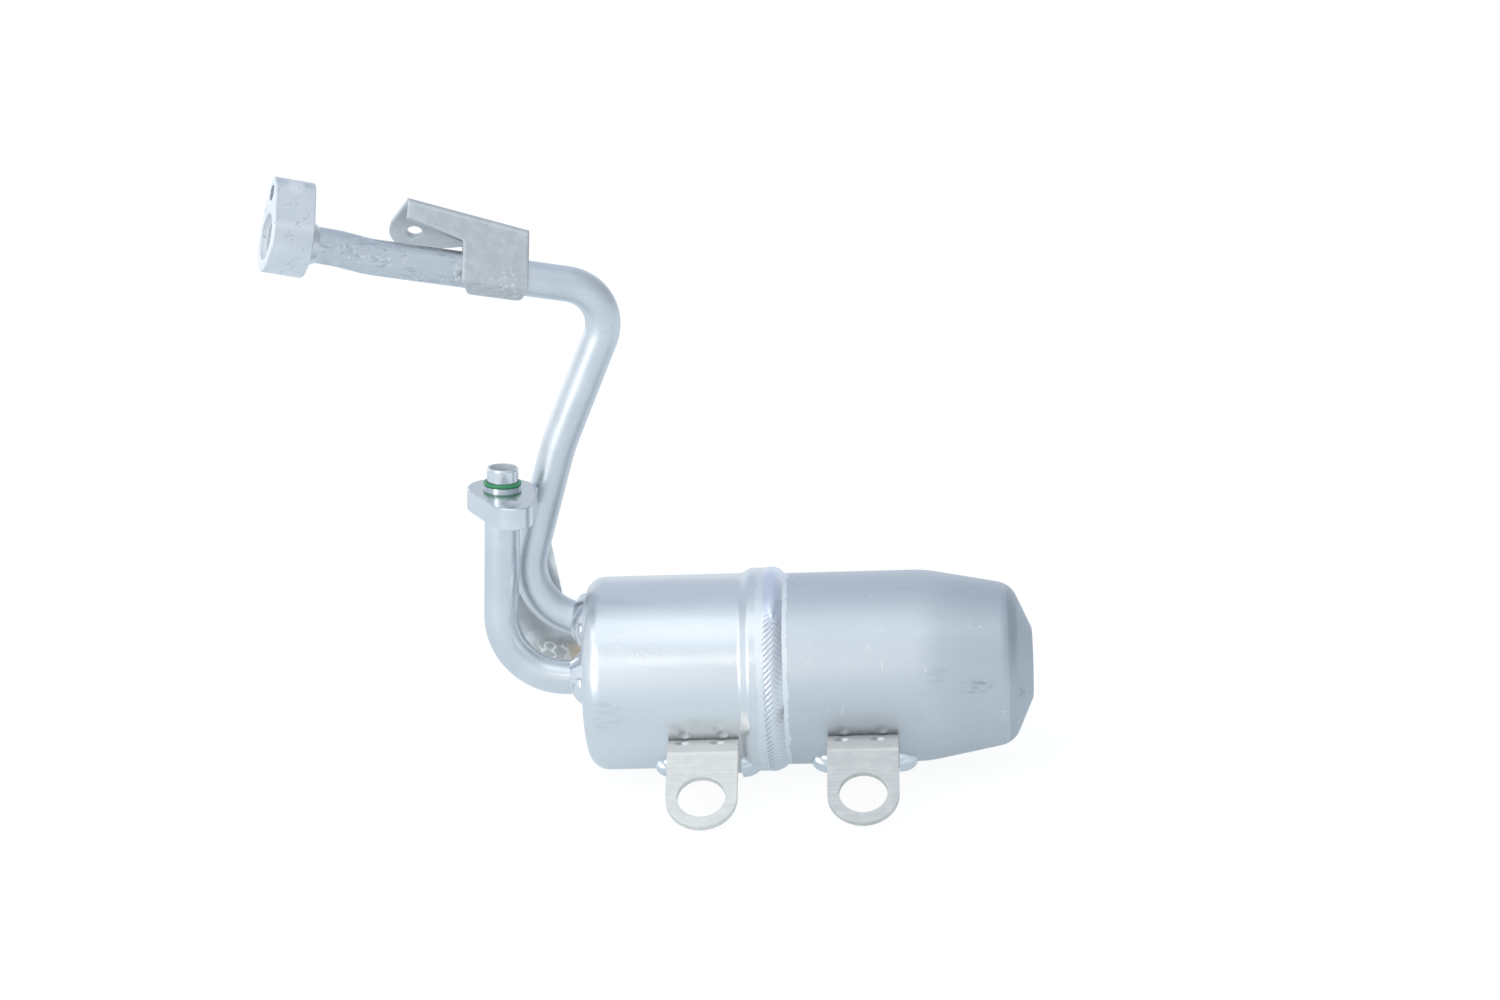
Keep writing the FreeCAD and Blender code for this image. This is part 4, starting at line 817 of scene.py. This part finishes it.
sheet = Finish("heat_tinted_sheet")
plate_place = sheet.position()
beside_tank = sheet.along(plate_place, X_AXIS, (FLAT_END_X, 0, 0)).ramp(-0.018, -0.006)
low_down = 1 - sheet.along(plate_place, Z_AXIS, (0, 0, TANK_Z)).ramp(0.004, 0.010)
wave = sheet.grain(plate_place, 90.0, 2, 0.4)
reflected_squiggle = 1 - abs(sheet.grain(plate_place, 150.0, 1) - 0.5).ramp(0.0, 0.05)
reflection_patch = near(sheet, plate_place, REFLECTION_PATCH_PLACE, (0.015, 0.02, 0.009))
spatter = near(sheet, plate_place, SPATTER_PLACE, (0.0022, 0.02, 0.0016))
plate_shade = sheet.blend(wave.ramp(0.35, 0.65), GREY_SHEET, PALE_SHEET)
plate_shade = sheet.blend(beside_tank * low_down * 0.8, plate_shade, STRAW_TINT)
# Painted dark reflection over the patch, then painted bright reflection lines across it.
plate_shade = sheet.blend(reflection_patch * 0.6, plate_shade, DARK_PAINTED_REFLECTION)
plate_shade = sheet.blend(reflected_squiggle * reflection_patch, plate_shade, BRIGHT_PAINTED_REFLECTION)
plate_shade = sheet.blend(spatter.ramp(0.2, 0.4), plate_shade, SPATTER_WHITE)
dress("brace_plate", sheet.surface(plate_shade, wave * 0.12 + 0.20, 1.0, sheet.relief(wave, 0.0008, 0.7)))

# Pick-up tube and deflector, inside the tank: a bent aluminium tube and a dished aluminium
# plate. Nothing touches them after assembly, so one clean finish with faint lines does for both.
INNER_BRIGHT = (0.70, 0.72, 0.75)
INNER_DULL = (0.60, 0.62, 0.65)
inner_metal = rolled_sheet("inner_aluminium", INNER_BRIGHT, INNER_DULL, 0.34, X_AXIS, Y_AXIS)
dress("suction_tube", inner_metal)
dress("vapour_deflector", inner_metal)

# Oil filter, clip and tie, inside the tank: a cage, a clip and a band moulded from off-white
# plastic, and a woven mesh sleeve that is pushed over the cage.
CAGE_WHITE = (0.80, 0.80, 0.76)
MESH_GREY = (0.70, 0.70, 0.66)
TIE_WHITE = (0.86, 0.86, 0.84)


def moulded(name, tone, roughness, fine):
    """Matt plastic or cloth of one colour with a fine speckle."""
    finish = Finish(name)
    speckle = finish.grain(finish.position(), fine, 3)
    shade = finish.blend(speckle, tuple(part * 0.88 for part in tone), tone)
    return finish.surface(shade, speckle * 0.1 + roughness, 0.0, finish.relief(speckle, 0.00005, 0.4))


filter_plastic = moulded("filter_plastic", CAGE_WHITE, 0.42, 700.0)
dress("oil_filter_cage", filter_plastic)
dress("tube_clip", filter_plastic)
dress("oil_filter_screen", moulded("filter_mesh", MESH_GREY, 0.55, 1600.0))
dress("bag_tie", moulded("tie_plastic", TIE_WHITE, 0.40, 900.0))

# Desiccant bag, inside the tank: needled felt, sewn into two pouches that are filled with drying
# beads and laid on both sides of the pick-up tube.
FELT = (0.78, 0.75, 0.67)
dress("desiccant_bag", moulded("needled_felt", FELT, 0.85, 1200.0))
